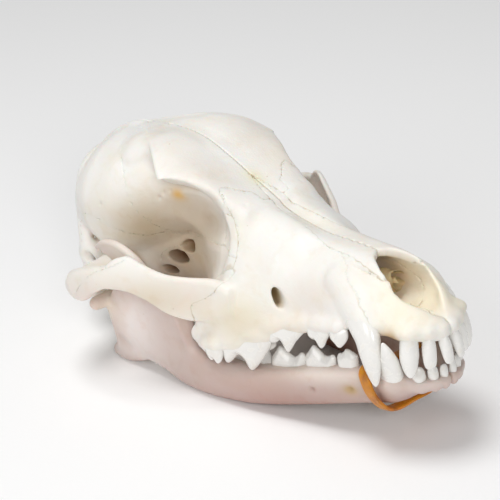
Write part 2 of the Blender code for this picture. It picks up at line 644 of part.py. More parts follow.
def cheek_tooth(name, row, side, down, gum):
    """A cheek tooth: a low oval body carrying one tall cusp and smaller ones fore and aft."""
    _, x, y, long, wide, crown, lean, cusps = row
    forms = []
    for k, (offset, share, through, height) in enumerate((BODY_CUSP, *CUSPS[cusps])):
        rings = []
        for level, size in BODY_LEVELS if k == 0 else CUSP_LEVELS:
            z = level * crown * height
            ring = []
            for angle in np.linspace(0, 2 * math.pi, CUSP_SIDES, endpoint=False):
                px = x + offset * long + math.cos(angle) * size * share * long / 2
                py = side * (y + lean * z + math.sin(angle) * size * through * wide / 2)
                ring.append((px, py, gum + down * z))
            rings.append(ring)
        forms.append(bridge(f"{name}_{k}", rings))
    return forms


def upper_teeth(side):
    """Every upper tooth of one side, roots sunk into the jaw."""
    forms = [cone_tooth("canine", UPPER_CANINE, side)]
    for row in UPPER_INCISORS:
        forms.append(incisor(row[0], row, side, -1, between(UPPER_GUM, row[1])[1]))
    for row in UPPER_CHEEK_TEETH:
        forms += cheek_tooth(row[0], row, side, -1, between(UPPER_GUM, row[1])[1])
    return forms


def lower_teeth(side):
    """Every lower tooth of one side, roots sunk into the jaw."""
    forms = [cone_tooth("canine", LOWER_CANINE, side)]
    for row in LOWER_INCISORS:
        forms.append(incisor(row[0], row, side, 1, between(LOWER_GUM, row[1])[1]))
    for row in LOWER_CHEEK_TEETH:
        forms += cheek_tooth(row[0], row, side, 1, between(LOWER_GUM, row[1])[1])
    return forms


def cranium():
    """The whole upper skull as one skin, with its orbits, throat and nasal cavity hollowed."""
    forms = [
        oval_form("braincase", BRAINCASE),
        oval_form("base", SKULL_BASE),
        oval_form("forehead", FOREHEAD),
        muzzle_form("muzzle"),
        tube_form("sagittal", SAGITTAL_CREST, 1, (0, 0, 1)),
    ]
    hollows = [
        oval_form("cavity", NASAL_CAVITY, sides=24, step=3),
        oval_form("throat", THROAT, sides=16, step=4),
        ball_form("magnum", FORAMEN_MAGNUM, 1),
        ball_form("notch", NASAL_NOTCH, 1),
    ]
    for side in (1, -1):
        forms += [
            slab_form("wing", PALATE_WINGS, side),
            slab_form("arch", ARCH, side),
            tube_form("canine", CANINE_SWELLING, side, (1, 0, 0)),
            tube_form("brow", BROW_EDGE, side, (0, 0, 1)),
            tube_form("root", TEMPORAL_ROOT, side, (0, 0, 1)),
            tube_form("stop", HINGE_STOP, side, (1, 0, 0)),
            tube_form("neck", NECK_PROCESS, side, (1, 0, 0)),
            tube_form("nuchal", NUCHAL_CREST, side, (1, 0, 0.35)),
        ]
        forms += [ball_form("mass", mass, side) for mass in ROUND_MASSES]
        hollows += [ball_form("hollow", mass, side, detail=2 if mass[1][0] < 6 else 3) for mass in HOLLOWS]
        hollows.append(tube_form("canal", CANAL, side, (0, 0, 1), sides=8, per_span=2))
    return fuse("cranium", forms, hollows, SKULL_FACES)


def jaw(name, side):
    """One half of the lower jaw, its teeth grown onto it."""
    forms = [
        slab_form("body", JAW_BODY, side),
        slab_form("branch", JAW_BRANCH, side),
        tube_form("hinge", JAW_HINGE, side, (0, 0, 1)),
        tube_form("neck", HINGE_NECK, side, (1, 0, 0)),
        tube_form("angle", JAW_ANGLE, side, (0, 0, 1)),
        tube_form("chin", CHIN_SWELLING, side, (1, 0, 0)),
    ]
    half = fuse(name, forms, [], JAW_FACES)
    near, far = sorted((side * HALF_GAP, -side * CHIN_CUT_REACH))
    combine(half, [prism("midline", CHIN_REGION, near, far)], "DIFFERENCE")
    combine(half, lower_teeth(side), "UNION")
    keep_largest(half)
    return half


def upper_skull():
    """Part the upper skull along its seams and grow the upper teeth onto the muzzle."""
    whole = cranium()
    nodes = []
    for side, word in ((1, "left"), (-1, "right")):
        inner = nasal_region("in", side, 0)
        outer = nasal_region("out", side, GAP)
        nodes.append(part_off(whole, f"nasal_{word}", inner, outer))
    for side, word in ((1, "left"), (-1, "right")):
        near, far = sorted((side * CHEEK_START, side * CHEEK_END))
        inner = prism("in", CHEEK_REGION, near, far)
        outer = prism("out", CHEEK_REGION, near, far, GAP)
        nodes.append(part_off(whole, f"cheekbone_{word}", inner, outer))
    inner = prism("in", MUZZLE_REGION, -CHEEK_END, CHEEK_END)
    outer = prism("out", MUZZLE_REGION, -CHEEK_END, CHEEK_END, GAP)
    muzzle = part_off(whole, "muzzle", inner, outer)
    combine(muzzle, upper_teeth(1) + upper_teeth(-1), "UNION")
    keep_largest(muzzle)
    whole.name = "braincase"
    keep_largest(whole)
    return [whole, muzzle, *nodes]


def rubber_band():
    """A flat band drawn round the front of both jaws, behind the lower canines and under the chin."""
    side = swept(BAND, 2)
    loop = np.vstack([side, side[-2:0:-1] * (1, -1, 1)])
    tangents = np.roll(loop, -1, axis=0) - np.roll(loop, 1, axis=0)
    tangents /= np.linalg.norm(tangents, axis=1)[:, None]
    rings = []
    for centre, tangent in zip(loop, tangents):
        first = np.array((1.0, 0, 0))
        first -= tangent * first.dot(tangent)
        first /= np.linalg.norm(first)
        second = np.cross(tangent, first)
        ring = []
        for a, b in BAND_SECTION:
            ring.append(centre + first * a * BAND_WIDTH / 2 + second * b * BAND_THICKNESS / 2)
        rings.append(ring)
    bm = bmesh.new()
    loops = [[bm.verts.new(point) for point in ring] for ring in rings]
    for low, high in zip(loops, loops[1:] + loops[:1]):
        for i in range(len(BAND_SECTION)):
            j = (i + 1) % len(BAND_SECTION)
            bm.faces.new((low[i], low[j], high[j], high[i]))
    return link("rubber_band", bm)


def stand(nodes):
    """Turn the bones nose up on one empty, centre them, and flatten what meets the floor."""
    rest = bpy.data.objects.new("rest", None)
    bpy.context.scene.collection.objects.link(rest)
    rest.rotation_euler = (0, -math.radians(REST_PITCH), 0)
    for obj in nodes:
        obj.parent = rest
    bpy.context.view_layer.update()
    corners = np.array([obj.matrix_world @ vert.co for obj in nodes for vert in obj.data.vertices])
    low, high = corners.min(axis=0), corners.max(axis=0)
    rest.location = (-(low[0] + high[0]) / 2, 0, -low[2] - REST_FLAT * MM)
    bpy.context.view_layer.update()
    for obj in nodes:
        if not obj.name.startswith("mandible"):
            continue
        floor = prism("floor", FLOOR_REGION, -CHEEK_END, CHEEK_END)
        combine(obj, [floor], "DIFFERENCE")
        keep_largest(obj)


def paint(obj, colour, roughness):
    """Give an object its own plain material."""
    material = bpy.data.materials.new(obj.name)
    material.use_nodes = True
    shader = material.node_tree.nodes["Principled BSDF"]
    shader.inputs["Base Color"].default_value = (*colour, 1)
    shader.inputs["Roughness"].default_value = roughness
    shader.inputs["Metallic"].default_value = 0
    obj.data.materials.clear()
    obj.data.materials.append(material)
    obj.data.shade_smooth()
    obj.data.set_sharp_from_angle(angle=math.radians(35))


def main():
    for obj in list(bpy.data.objects):
        bpy.data.objects.remove(obj)
    nodes = upper_skull()
    jaws = [jaw("mandible_left", 1), jaw("mandible_right", -1)]
    for obj in nodes:
        paint(obj, BONE, 0.6)
    for obj in jaws:
        paint(obj, JAW_BONE, 0.6)
    band = rubber_band()
    paint(band, RUBBER, 0.35)
    stand([*nodes, *jaws, band])


main()
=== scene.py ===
"""Looks for a dog's skull: the bones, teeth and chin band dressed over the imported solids.

The bones are sculpted as fields of signed distances, because a skull is full of holes,
bridges and blends that one sheet of a grid can't follow. Teeth and the band are profiles
carried along paths. All sizes are millimetres in the skull's own frame: +X forward to the
incisors, +Y to the animal's left, +Z up from the palate, with the origin at the front of the
upper jaw. Rest turns them into the row frame.
"""

import logging
import math
from dataclasses import dataclass, field
from enum import Enum

import bpy
import numpy as np
from mathutils import Matrix, Vector


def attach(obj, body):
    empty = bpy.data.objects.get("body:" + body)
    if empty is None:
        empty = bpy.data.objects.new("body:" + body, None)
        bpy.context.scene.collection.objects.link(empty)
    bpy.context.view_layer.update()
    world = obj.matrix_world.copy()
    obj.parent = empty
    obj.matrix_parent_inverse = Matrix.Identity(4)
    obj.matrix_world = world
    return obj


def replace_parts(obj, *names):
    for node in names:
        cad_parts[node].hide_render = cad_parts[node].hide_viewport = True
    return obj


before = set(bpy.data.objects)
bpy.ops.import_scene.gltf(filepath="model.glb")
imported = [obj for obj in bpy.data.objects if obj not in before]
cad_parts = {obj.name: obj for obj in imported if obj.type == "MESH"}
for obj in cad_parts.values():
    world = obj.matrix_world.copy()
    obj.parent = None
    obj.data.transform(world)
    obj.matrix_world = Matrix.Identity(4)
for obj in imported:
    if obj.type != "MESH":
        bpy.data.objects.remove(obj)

Array = np.ndarray
Triple = tuple[float, float, float]
Rows = tuple[tuple[float, ...], ...]

MM = 0.001
# The distance in an empty block, and the least number divided by.
FAR = 20.0
TINY = 1e-9
# Grid spacing for the build, and a coarser one that nothing here uses; a tooth's own is half of the first.
STEP, QUICK_STEP = 0.5, 0.9
# Millimetres of grid kept round a form, round a tooth on its own and round a bone.
FORM_ROOM, TOOTH_ROOM, BONE_ROOM = 2.5, 1.5, 2.0
# Edges sharper than this stay sharp.
SHARP_DEG = 55.0
WHOLE = (slice(None),) * 3
LOG = logging.getLogger("skull")


@dataclass(frozen=True)
class Rest:
    """How the skull's own millimetres sit in the row frame."""

    pitch_deg: float = 10.6
    shift: Triple = (79.628, 0.0, 38.777)

    def turn(self) -> Array:
        """The turn about +Y that lifts the nose, as a 3 by 3 matrix."""
        a = math.radians(self.pitch_deg)
        return np.array(((math.cos(a), 0, -math.sin(a)), (0, 1, 0), (math.sin(a), 0, math.cos(a))))

    def place(self, points: Array) -> Array:
        """Skull millimetres to metres in the row frame."""
        return (points @ self.turn().T + np.array(self.shift)) * MM


REST = Rest()


def eased(rows: Array, x: Array) -> Array:
    """Read a table at x: each column follows a cubic that never overshoots its stations.

    Args:
        rows: stations in rising order of their first column.
        x: where to read, held to the table's ends.

    Returns:
        One row per x, without the first column.
    """
    places, values = rows[:, 0], rows[:, 1:]
    span = np.diff(places)[:, None]
    slope = np.diff(values, axis=0) / span
    tangent = np.vstack((slope[:1], slope, slope[-1:]))
    low, high = tangent[:-1], tangent[1:]
    agree = low * high > 0
    tangent = np.where(agree, 2 * low * high / np.where(agree, low + high, 1.0), 0.0)
    x = np.clip(x, places[0], places[-1])
    i = np.clip(np.searchsorted(places, x) - 1, 0, len(places) - 2)
    t = ((x - places[i]) / span[i, 0])[:, None]
    rise = 3 * t**2 - 2 * t**3
    bend = (t**3 - 2 * t**2 + t) * tangent[i] + (t**3 - t**2) * tangent[i + 1]
    return (1 - rise) * values[i] + rise * values[i + 1] + bend * span[i]


def cubic(a: Array, b: Array, c: Array, d: Array, t: Array) -> Array:
    """Catmull and Rom's cubic from b to c at t, with a before them and d after."""
    bend = (2 * a - 5 * b + 4 * c - d) * t**2 + (3 * b - a - 3 * c + d) * t**3
    return 0.5 * (2 * b + (c - a) * t + bend)


def swept(points: Array, per_span: int) -> Array:
    """A smooth curve through rows of numbers.

    Args:
        points: the rows to pass through.
        per_span: steps between two rows.

    Returns:
        The rows of the curve, both ends kept.
    """
    p = np.asarray(points, dtype=float)
    p = np.vstack((2 * p[:1] - p[1:2], p, 2 * p[-1:] - p[-2:-1]))
    t = (np.arange(per_span) / per_span)[None, :, None]
    curve = cubic(*(p[i : len(p) - 3 + i][:, None, :] for i in range(4)), t)
    return np.vstack((curve.reshape(-1, p.shape[1]), p[-2:-1]))


def melt(a: Array, b: Array, blend: float) -> Array:
    """The lower of two fields, rounded where they meet over a width of blend."""
    if blend <= 0:
        return np.minimum(a, b)
    h = np.clip(0.5 + 0.5 * (b - a) / blend, 0, 1)
    return b + (a - b) * h - blend * h * (1 - h)


def ramp(value: Array, low: Array | float, high: Array | float) -> Array:
    """0 at low, rising evenly to 1 at high, and held at both ends."""
    return np.clip((value - low) / (high - low), 0, 1)


def falloff(points: Array, centre: Triple, radii: Triple) -> Array:
    """exp(-r^2), with r the distance from a centre in parts of three radii."""
    return np.exp(-(((points - centre) / radii) ** 2).sum(axis=1))


def ordered(rows: Rows) -> Array:
    """Rows as a table, in rising order of x."""
    return np.array(sorted(rows), dtype=float)


def ended(d: Array, t: Array, x: Array) -> Array:
    """A field carried along x, closed with rounded ends at its table's first and last x."""
    over = np.maximum(np.maximum(t[0, 0] - x, x - t[-1, 0]), 0)
    return np.where(over > 0, np.sqrt(np.maximum(d, 0) ** 2 + over**2), d)


def even(d: Array, x: Array) -> Array:
    """A field divided by the length of its slope, so that it reads as a distance near its skin.

    Args:
        d: the field, on a grid with one spacing.
        x: the grid's places along its first axis.

    Returns:
        The evened field, or the same one where the grid is too thin for a slope.
    """
    if min(d.shape) < 3:
        return d
    gx, gy, gz = np.gradient(d, float(x.ravel()[1] - x.ravel()[0]))
    return d / np.clip(np.sqrt(gx**2 + gy**2 + gz**2), 0.35, 4.0)


def met(u: Array, v: Array, start: Array, end: Array) -> tuple[Array, Array]:
    """How points lie to a straight edge.

    Args:
        u: the points' first coordinate.
        v: their second.
        start: the edge's start.
        end: the edge's end.

    Returns:
        The square of the distance to the edge, and whether a line from the point along +u crosses it.
    """
    (au, av), (bu, bv) = start, end
    eu, ev = bu - au, bv - av
    wu, wv = u - au, v - av
    share = np.clip((wu * eu + wv * ev) / (eu * eu + ev * ev + TINY), 0, 1)
    near = (wu - share * eu) ** 2 + (wv - share * ev) ** 2
    fall = np.where(np.abs(ev) < 1e-6, 1e-6, ev)
    return near, ((av > v) != (bv > v)) & (u < eu * wv / fall + au)


class Form:
    """Something with an inside, known by its signed distance in millimetres."""

    def reach(self) -> tuple[Array, Array]:
        """Lowest and highest corner."""
        raise NotImplementedError

    def distance(self, x: Array, y: Array, z: Array) -> Array:
        """Signed distance at a grid given by three open axes.

        Args:
            x: the grid's places along x, as an array of n by 1 by 1.
            y: those along y, as 1 by n by 1.
            z: those along z, as 1 by 1 by n.

        Returns:
            The distance on the whole grid in millimetres, negative inside the form.
        """
        raise NotImplementedError


def oval(u: Array, v: Array, w: Array, ru: Array, rv: Array, rw: Array) -> Array:
    """Near enough the signed distance to an ellipsoid: k0 (k0 - 1) / k1, k0 and k1 its scaled lengths."""
    k0 = np.sqrt((u / ru) ** 2 + (v / rv) ** 2 + (w / rw) ** 2) + 1e-6
    k1 = np.sqrt((u / ru**2) ** 2 + (v / rv**2) ** 2 + (w / rw**2) ** 2) + 1e-6
    return k0 * (k0 - 1) / k1


@dataclass(frozen=True)
class Ball(Form):
    """An ellipsoid, turned by degrees about X, then Y, then Z."""

    centre: Triple
    radii: Triple
    turn: Triple = (0.0, 0.0, 0.0)

    def axes(self) -> Array:
        """The ellipsoid's own axes, one to a row."""
        (cx, cy, cz), (sx, sy, sz) = np.cos(np.radians(self.turn)), np.sin(np.radians(self.turn))
        about_x = np.array(((1, 0, 0), (0, cx, -sx), (0, sx, cx)))
        about_y = np.array(((cy, 0, sy), (0, 1, 0), (-sy, 0, cy)))
        about_z = np.array(((cz, -sz, 0), (sz, cz, 0), (0, 0, 1)))
        return (about_z @ about_y @ about_x).T

    def reach(self) -> tuple[Array, Array]:
        """Lowest and highest corner."""
        half = np.sqrt(((self.axes().T * np.array(self.radii)) ** 2).sum(axis=1))
        return np.array(self.centre) - half, np.array(self.centre) + half

    def distance(self, x: Array, y: Array, z: Array) -> Array:
        """Signed distance at a grid given by three open axes."""
        x, y, z = x - self.centre[0], y - self.centre[1], z - self.centre[2]
        u, v, w = (row[0] * x + row[1] * y + row[2] * z for row in self.axes().astype(np.float32))
        return oval(u, v, w, *self.radii)


@dataclass(frozen=True)
class Loft(Form):
    """Superellipses carried along x. Rows: x, centre height, half width, half height, power, spread."""

    rows: Rows

    def reach(self) -> tuple[Array, Array]:
        """Lowest and highest corner."""
        t = ordered(self.rows)
        wide = (t[:, 2] * (1 + abs(t[:, 5]))).max()
        low = (t[0, 0], -wide, (t[:, 1] - t[:, 3]).min())
        return np.array(low), np.array((t[-1, 0], wide, (t[:, 1] + t[:, 3]).max()))

    def distance(self, x: Array, y: Array, z: Array) -> Array:
        """Signed distance at a grid given by three open axes."""
        t = ordered(self.rows)
        read = eased(t, x.ravel().astype(float)).astype(np.float32)
        height, wide, tall, square, spread = (read[:, i][:, None, None] for i in range(5))
        v = (z - height) / tall
        wide = np.maximum(wide * (1 + spread * np.clip(v, -1, 1)), 0.3)
        u, v = np.abs(y / wide), np.abs(v)
        r = (u**square + v**square) ** (1 / square) + 1e-5
        across, up = u ** (square - 1) / wide, v ** (square - 1) / tall
        slope = r ** (1 - square) * np.sqrt(across**2 + up**2)
        return ended((r - 1) / np.maximum(slope, 1 / np.maximum(wide, tall)), t, x)


@dataclass(frozen=True)
class Slab(Form):
    """Tall thin sections carried along x. Rows: x, bottom, top, y at each, half thickness at each, bow."""

    rows: Rows
    rounding: float = 0.85

    def reach(self) -> tuple[Array, Array]:
        """Lowest and highest corner."""
        t = ordered(self.rows)
        half = t[:, 5:7].max() + abs(t[:, 7]).max()
        low = (t[0, 0], t[:, 3:5].min() - half, t[:, 1].min())
        return np.array(low), np.array((t[-1, 0], t[:, 3:5].max() + half, t[:, 2].max()))

    def distance(self, x: Array, y: Array, z: Array) -> Array:
        """Signed distance at a grid given by three open axes."""
        t = ordered(self.rows)
        read = eased(t, x.ravel().astype(float)).astype(np.float32)
        low, high, y_low, y_high, half_low, half_high, bow = (read[:, i][:, None, None] for i in range(7))
        tall = (high - low) / 2
        v = ramp(z, low, high)
        middle = y_low + (y_high - y_low) * v + bow * 4 * v * (1 - v)
        half = half_low + (half_high - half_low) * v
        r = np.minimum(half, tall) * self.rounding
        a = np.abs(y - middle) - half + r
        b = np.abs(z - (low + high) / 2) - tall + r
        d = np.minimum(np.maximum(a, b), 0) + np.sqrt(np.maximum(a, 0) ** 2 + np.maximum(b, 0) ** 2) - r
        return ended(even(d, x), t, x)


@dataclass(frozen=True)
class Tube(Form):
    """An oval carried along a smooth path. Rows: x, y, z, half width across, half width along up."""

    rows: Rows
    up: Triple = (0.0, 0.0, 1.0)
    per_span: int = 5

    def reach(self) -> tuple[Array, Array]:
        """Lowest and highest corner."""
        path = swept(self.rows, self.per_span)
        r = path[:, 3:5].max()
        return path[:, :3].min(axis=0) - r, path[:, :3].max(axis=0) + r

    def distance(self, x: Array, y: Array, z: Array) -> Array:
        """Signed distance at a grid: the least over the path's straight lengths."""
        path = swept(self.rows, self.per_span)
        least = np.float32(FAR)
        for a, b in zip(path[:-1], path[1:]):
            along = b[:3] - a[:3]
            length = np.linalg.norm(along)
            along = along / length
            first = np.array(self.up) - along * np.dot(self.up, along)
            first /= np.linalg.norm(first)
            second = np.cross(along, first)
            px, py, pz = x - a[0], y - a[1], z - a[2]
            run = px * along[0] + py * along[1] + pz * along[2]
            share = np.clip(run / length, 0, 1)
            tall = a[4] + (b[4] - a[4]) * share
            wide = a[3] + (b[3] - a[3]) * share
            u = px * first[0] + py * first[1] + pz * first[2]
            v = px * second[0] + py * second[1] + pz * second[2]
            d = oval(u, v, run - share * length, tall, wide, np.minimum(tall, wide))
            least = np.minimum(least, d)
        return least


@dataclass(frozen=True)
class Skin(Form):
    """Half sections carried along x. Rows: x, then (y, z) points from the underside up to the roof."""

    rows: tuple
    per_span: int = 4

    def table(self) -> Array:
        """The rows in rising order of x, each flattened after its x."""
        return np.array([(r[0], *[v for p in r[1:] for v in p]) for r in sorted(self.rows)], dtype=float)

    def reach(self) -> tuple[Array, Array]:
        """Lowest and highest corner."""
        t = self.table()
        low = (t[0, 0], -1.0, t[:, 2::2].min())
        return np.array(low), np.array((t[-1, 0], t[:, 1::2].max(), t[:, 2::2].max()))

    def outline(self, x: Array) -> Array:
        """The smooth half section at each x, as an array of x by point by (y, z).

        Args:
            x: where along the skull.

        Returns:
            The sections, with their ends held to the midline.
        """
        t = self.table()
        p = eased(t, x).reshape(len(x), -1, 2)
        mirror = np.array((-1.0, 1.0))
        p = np.concatenate((p[:, 1:2] * mirror, p, p[:, -2:-1] * mirror), axis=1)
        s = (np.arange(self.per_span) / self.per_span)[None, None, :, None]
        curve = cubic(*(p[:, i : p.shape[1] - 3 + i][:, :, None, :] for i in range(4)), s)
        curve = np.concatenate((curve.reshape(len(x), -1, 2), p[:, -2:-1]), axis=1)
        curve[:, (0, -1), 0] = 0
        return curve

    def distance(self, x: Array, y: Array, z: Array) -> Array:
        """Signed distance at a grid: to the nearest edge, with its sign by counted crossings."""
        t = self.table()
        s = self.outline(x.ravel().astype(float)).astype(np.float32)
        d = np.full((x.size, y.size, z.size), 1e6, np.float32)
        inside = np.zeros(d.shape, bool)
        for i in range(s.shape[1] - 1):
            near, crossed = met(y, z, *(s[:, j].T[:, :, None, None] for j in (i, i + 1)))
            d = np.minimum(d, near)
            inside ^= crossed
        d = np.sqrt(d)
        d[inside] *= -1
        return ended(even(d, x), t, x)


@dataclass(frozen=True)
class Outline(Form):
    """A flat outline carried straight along one axis, its corners eased into curves."""

    points: Rows
    across: int = 1
    start: float = -70.0
    stop: float = 70.0
    per_span: int = 4

    def closed(self) -> Array:
        """The outline's smooth loop, its first point repeated at the end."""
        p = np.array(self.points, dtype=float)
        loop = swept(np.vstack((p[-1:], p, p[:2])), self.per_span)
        return loop[self.per_span : -self.per_span]

    def reach(self) -> tuple[Array, Array]:
        """Lowest and highest corner."""
        loop = self.closed()
        low, high = loop.min(axis=0), loop.max(axis=0)
        return np.insert(low, self.across, self.start), np.insert(high, self.across, self.stop)

    def distance(self, x: Array, y: Array, z: Array) -> Array:
        """Signed distance at a grid: to the nearest edge, with its sign by counted crossings."""
        loop = self.closed()
        u, v = (a for i, a in enumerate((x, y, z)) if i != self.across)
        d = np.full(np.broadcast(u, v).shape, 1e6)
        inside = np.zeros(d.shape, bool)
        for start, end in zip(loop[:-1], loop[1:]):
            near, crossed = met(u, v, start, end)
            d = np.minimum(d, near)
            inside ^= crossed
        flat = np.where(inside, -np.sqrt(d), np.sqrt(d)).astype(np.float32)
        depth = (x, y, z)[self.across]
        return np.maximum(flat, np.maximum(self.start - depth, depth - self.stop))


@dataclass(frozen=True)
class Strip(Form):
    """A band along the midline. Rows: x, half width, height of its edge; it goes depth below that edge."""

    rows: Rows
    depth: float
    headroom: float = 8.0

    def reach(self) -> tuple[Array, Array]:
        """Lowest and highest corner."""
        t = ordered(self.rows)
        low = (t[0, 0], 0.0, t[:, 2].min() - self.depth)
        return np.array(low), np.array((t[-1, 0], t[:, 1].max(), t[:, 2].max() + self.headroom))

    def distance(self, x: Array, y: Array, z: Array) -> Array:
        """Signed distance at a grid given by three open axes."""
        t = ordered(self.rows)
        read = eased(t, x.ravel().astype(float)).astype(np.float32)
        wide, edge = (column[:, None, None] for column in read.T)
        d = np.maximum(y - wide, edge - self.depth - z)
        return np.maximum(d, np.maximum(t[0, 0] - x, x - t[-1, 0]))


@dataclass(frozen=True)
class Meet(Form):
    """What two forms share."""

    first: Form
    second: Form

    def reach(self) -> tuple[Array, Array]:
        """Lowest and highest corner."""
        (low, high), (low_2, high_2) = self.first.reach(), self.second.reach()
        return np.maximum(low, low_2), np.minimum(high, high_2)

    def distance(self, x: Array, y: Array, z: Array) -> Array:
        """Signed distance at a grid given by three open axes."""
        return np.maximum(self.first.distance(x, y, z), self.second.distance(x, y, z))


CORNERS = tuple((i, j, k) for i in (0, 1) for j in (0, 1) for k in (0, 1))
EDGES = tuple(
    (a, b)
    for a in range(8)
    for b in range(a + 1, 8)
    if sum(abs(p - q) for p, q in zip(CORNERS[a], CORNERS[b])) == 1
)


@dataclass
class Surface:
    """A closed skin: points in skull millimetres, its faces, and values read at the points."""

    points: Array
    faces: Array
    values: dict[str, Array] = field(default_factory=dict)

    def flipped(self) -> "Surface":
        """The mirror image in the midline, still facing out."""
        return Surface(self.points * (1, -1, 1), self.faces[:, ::-1], self.values)


def wrapped(points: Array, closed: bool) -> Surface:
    """Quads over a grid of points whose first way round is a ring.

    Args:
        points: ring by length by 3.
        closed: whether the length meets itself too; otherwise each end gets a cap.

    Returns:
        The closed surface.
    """
    n, m = points.shape[:2]
    i, j = np.arange(n)[:, None], np.arange(m if closed else m - 1)[None, :]
    k, l = (i + 1) % n, (j + 1) % m
    quads = np.stack((i * m + j, k * m + j, k * m + l, i * m + l), axis=2).reshape(-1, 4)
    flat = points.reshape(-1, 3)
    for end in () if closed else (0, m - 1):
        rim = np.arange(n) * m + end
        ring = np.stack((np.full(n, len(flat)), rim, np.roll(rim, -1), np.roll(rim, -1)), axis=1)
        flat = np.vstack((flat, flat[rim].mean(axis=0)))
        quads = np.vstack((quads, ring[:, ::-1] if end == 0 else ring))
    corners = flat[quads]
    turn = np.cross(corners[:, 1] - corners[:, 0], corners[:, 2] - corners[:, 0])
    volume = (turn * corners.mean(axis=1)).sum()
    return Surface(flat, quads if volume > 0 else quads[:, ::-1])


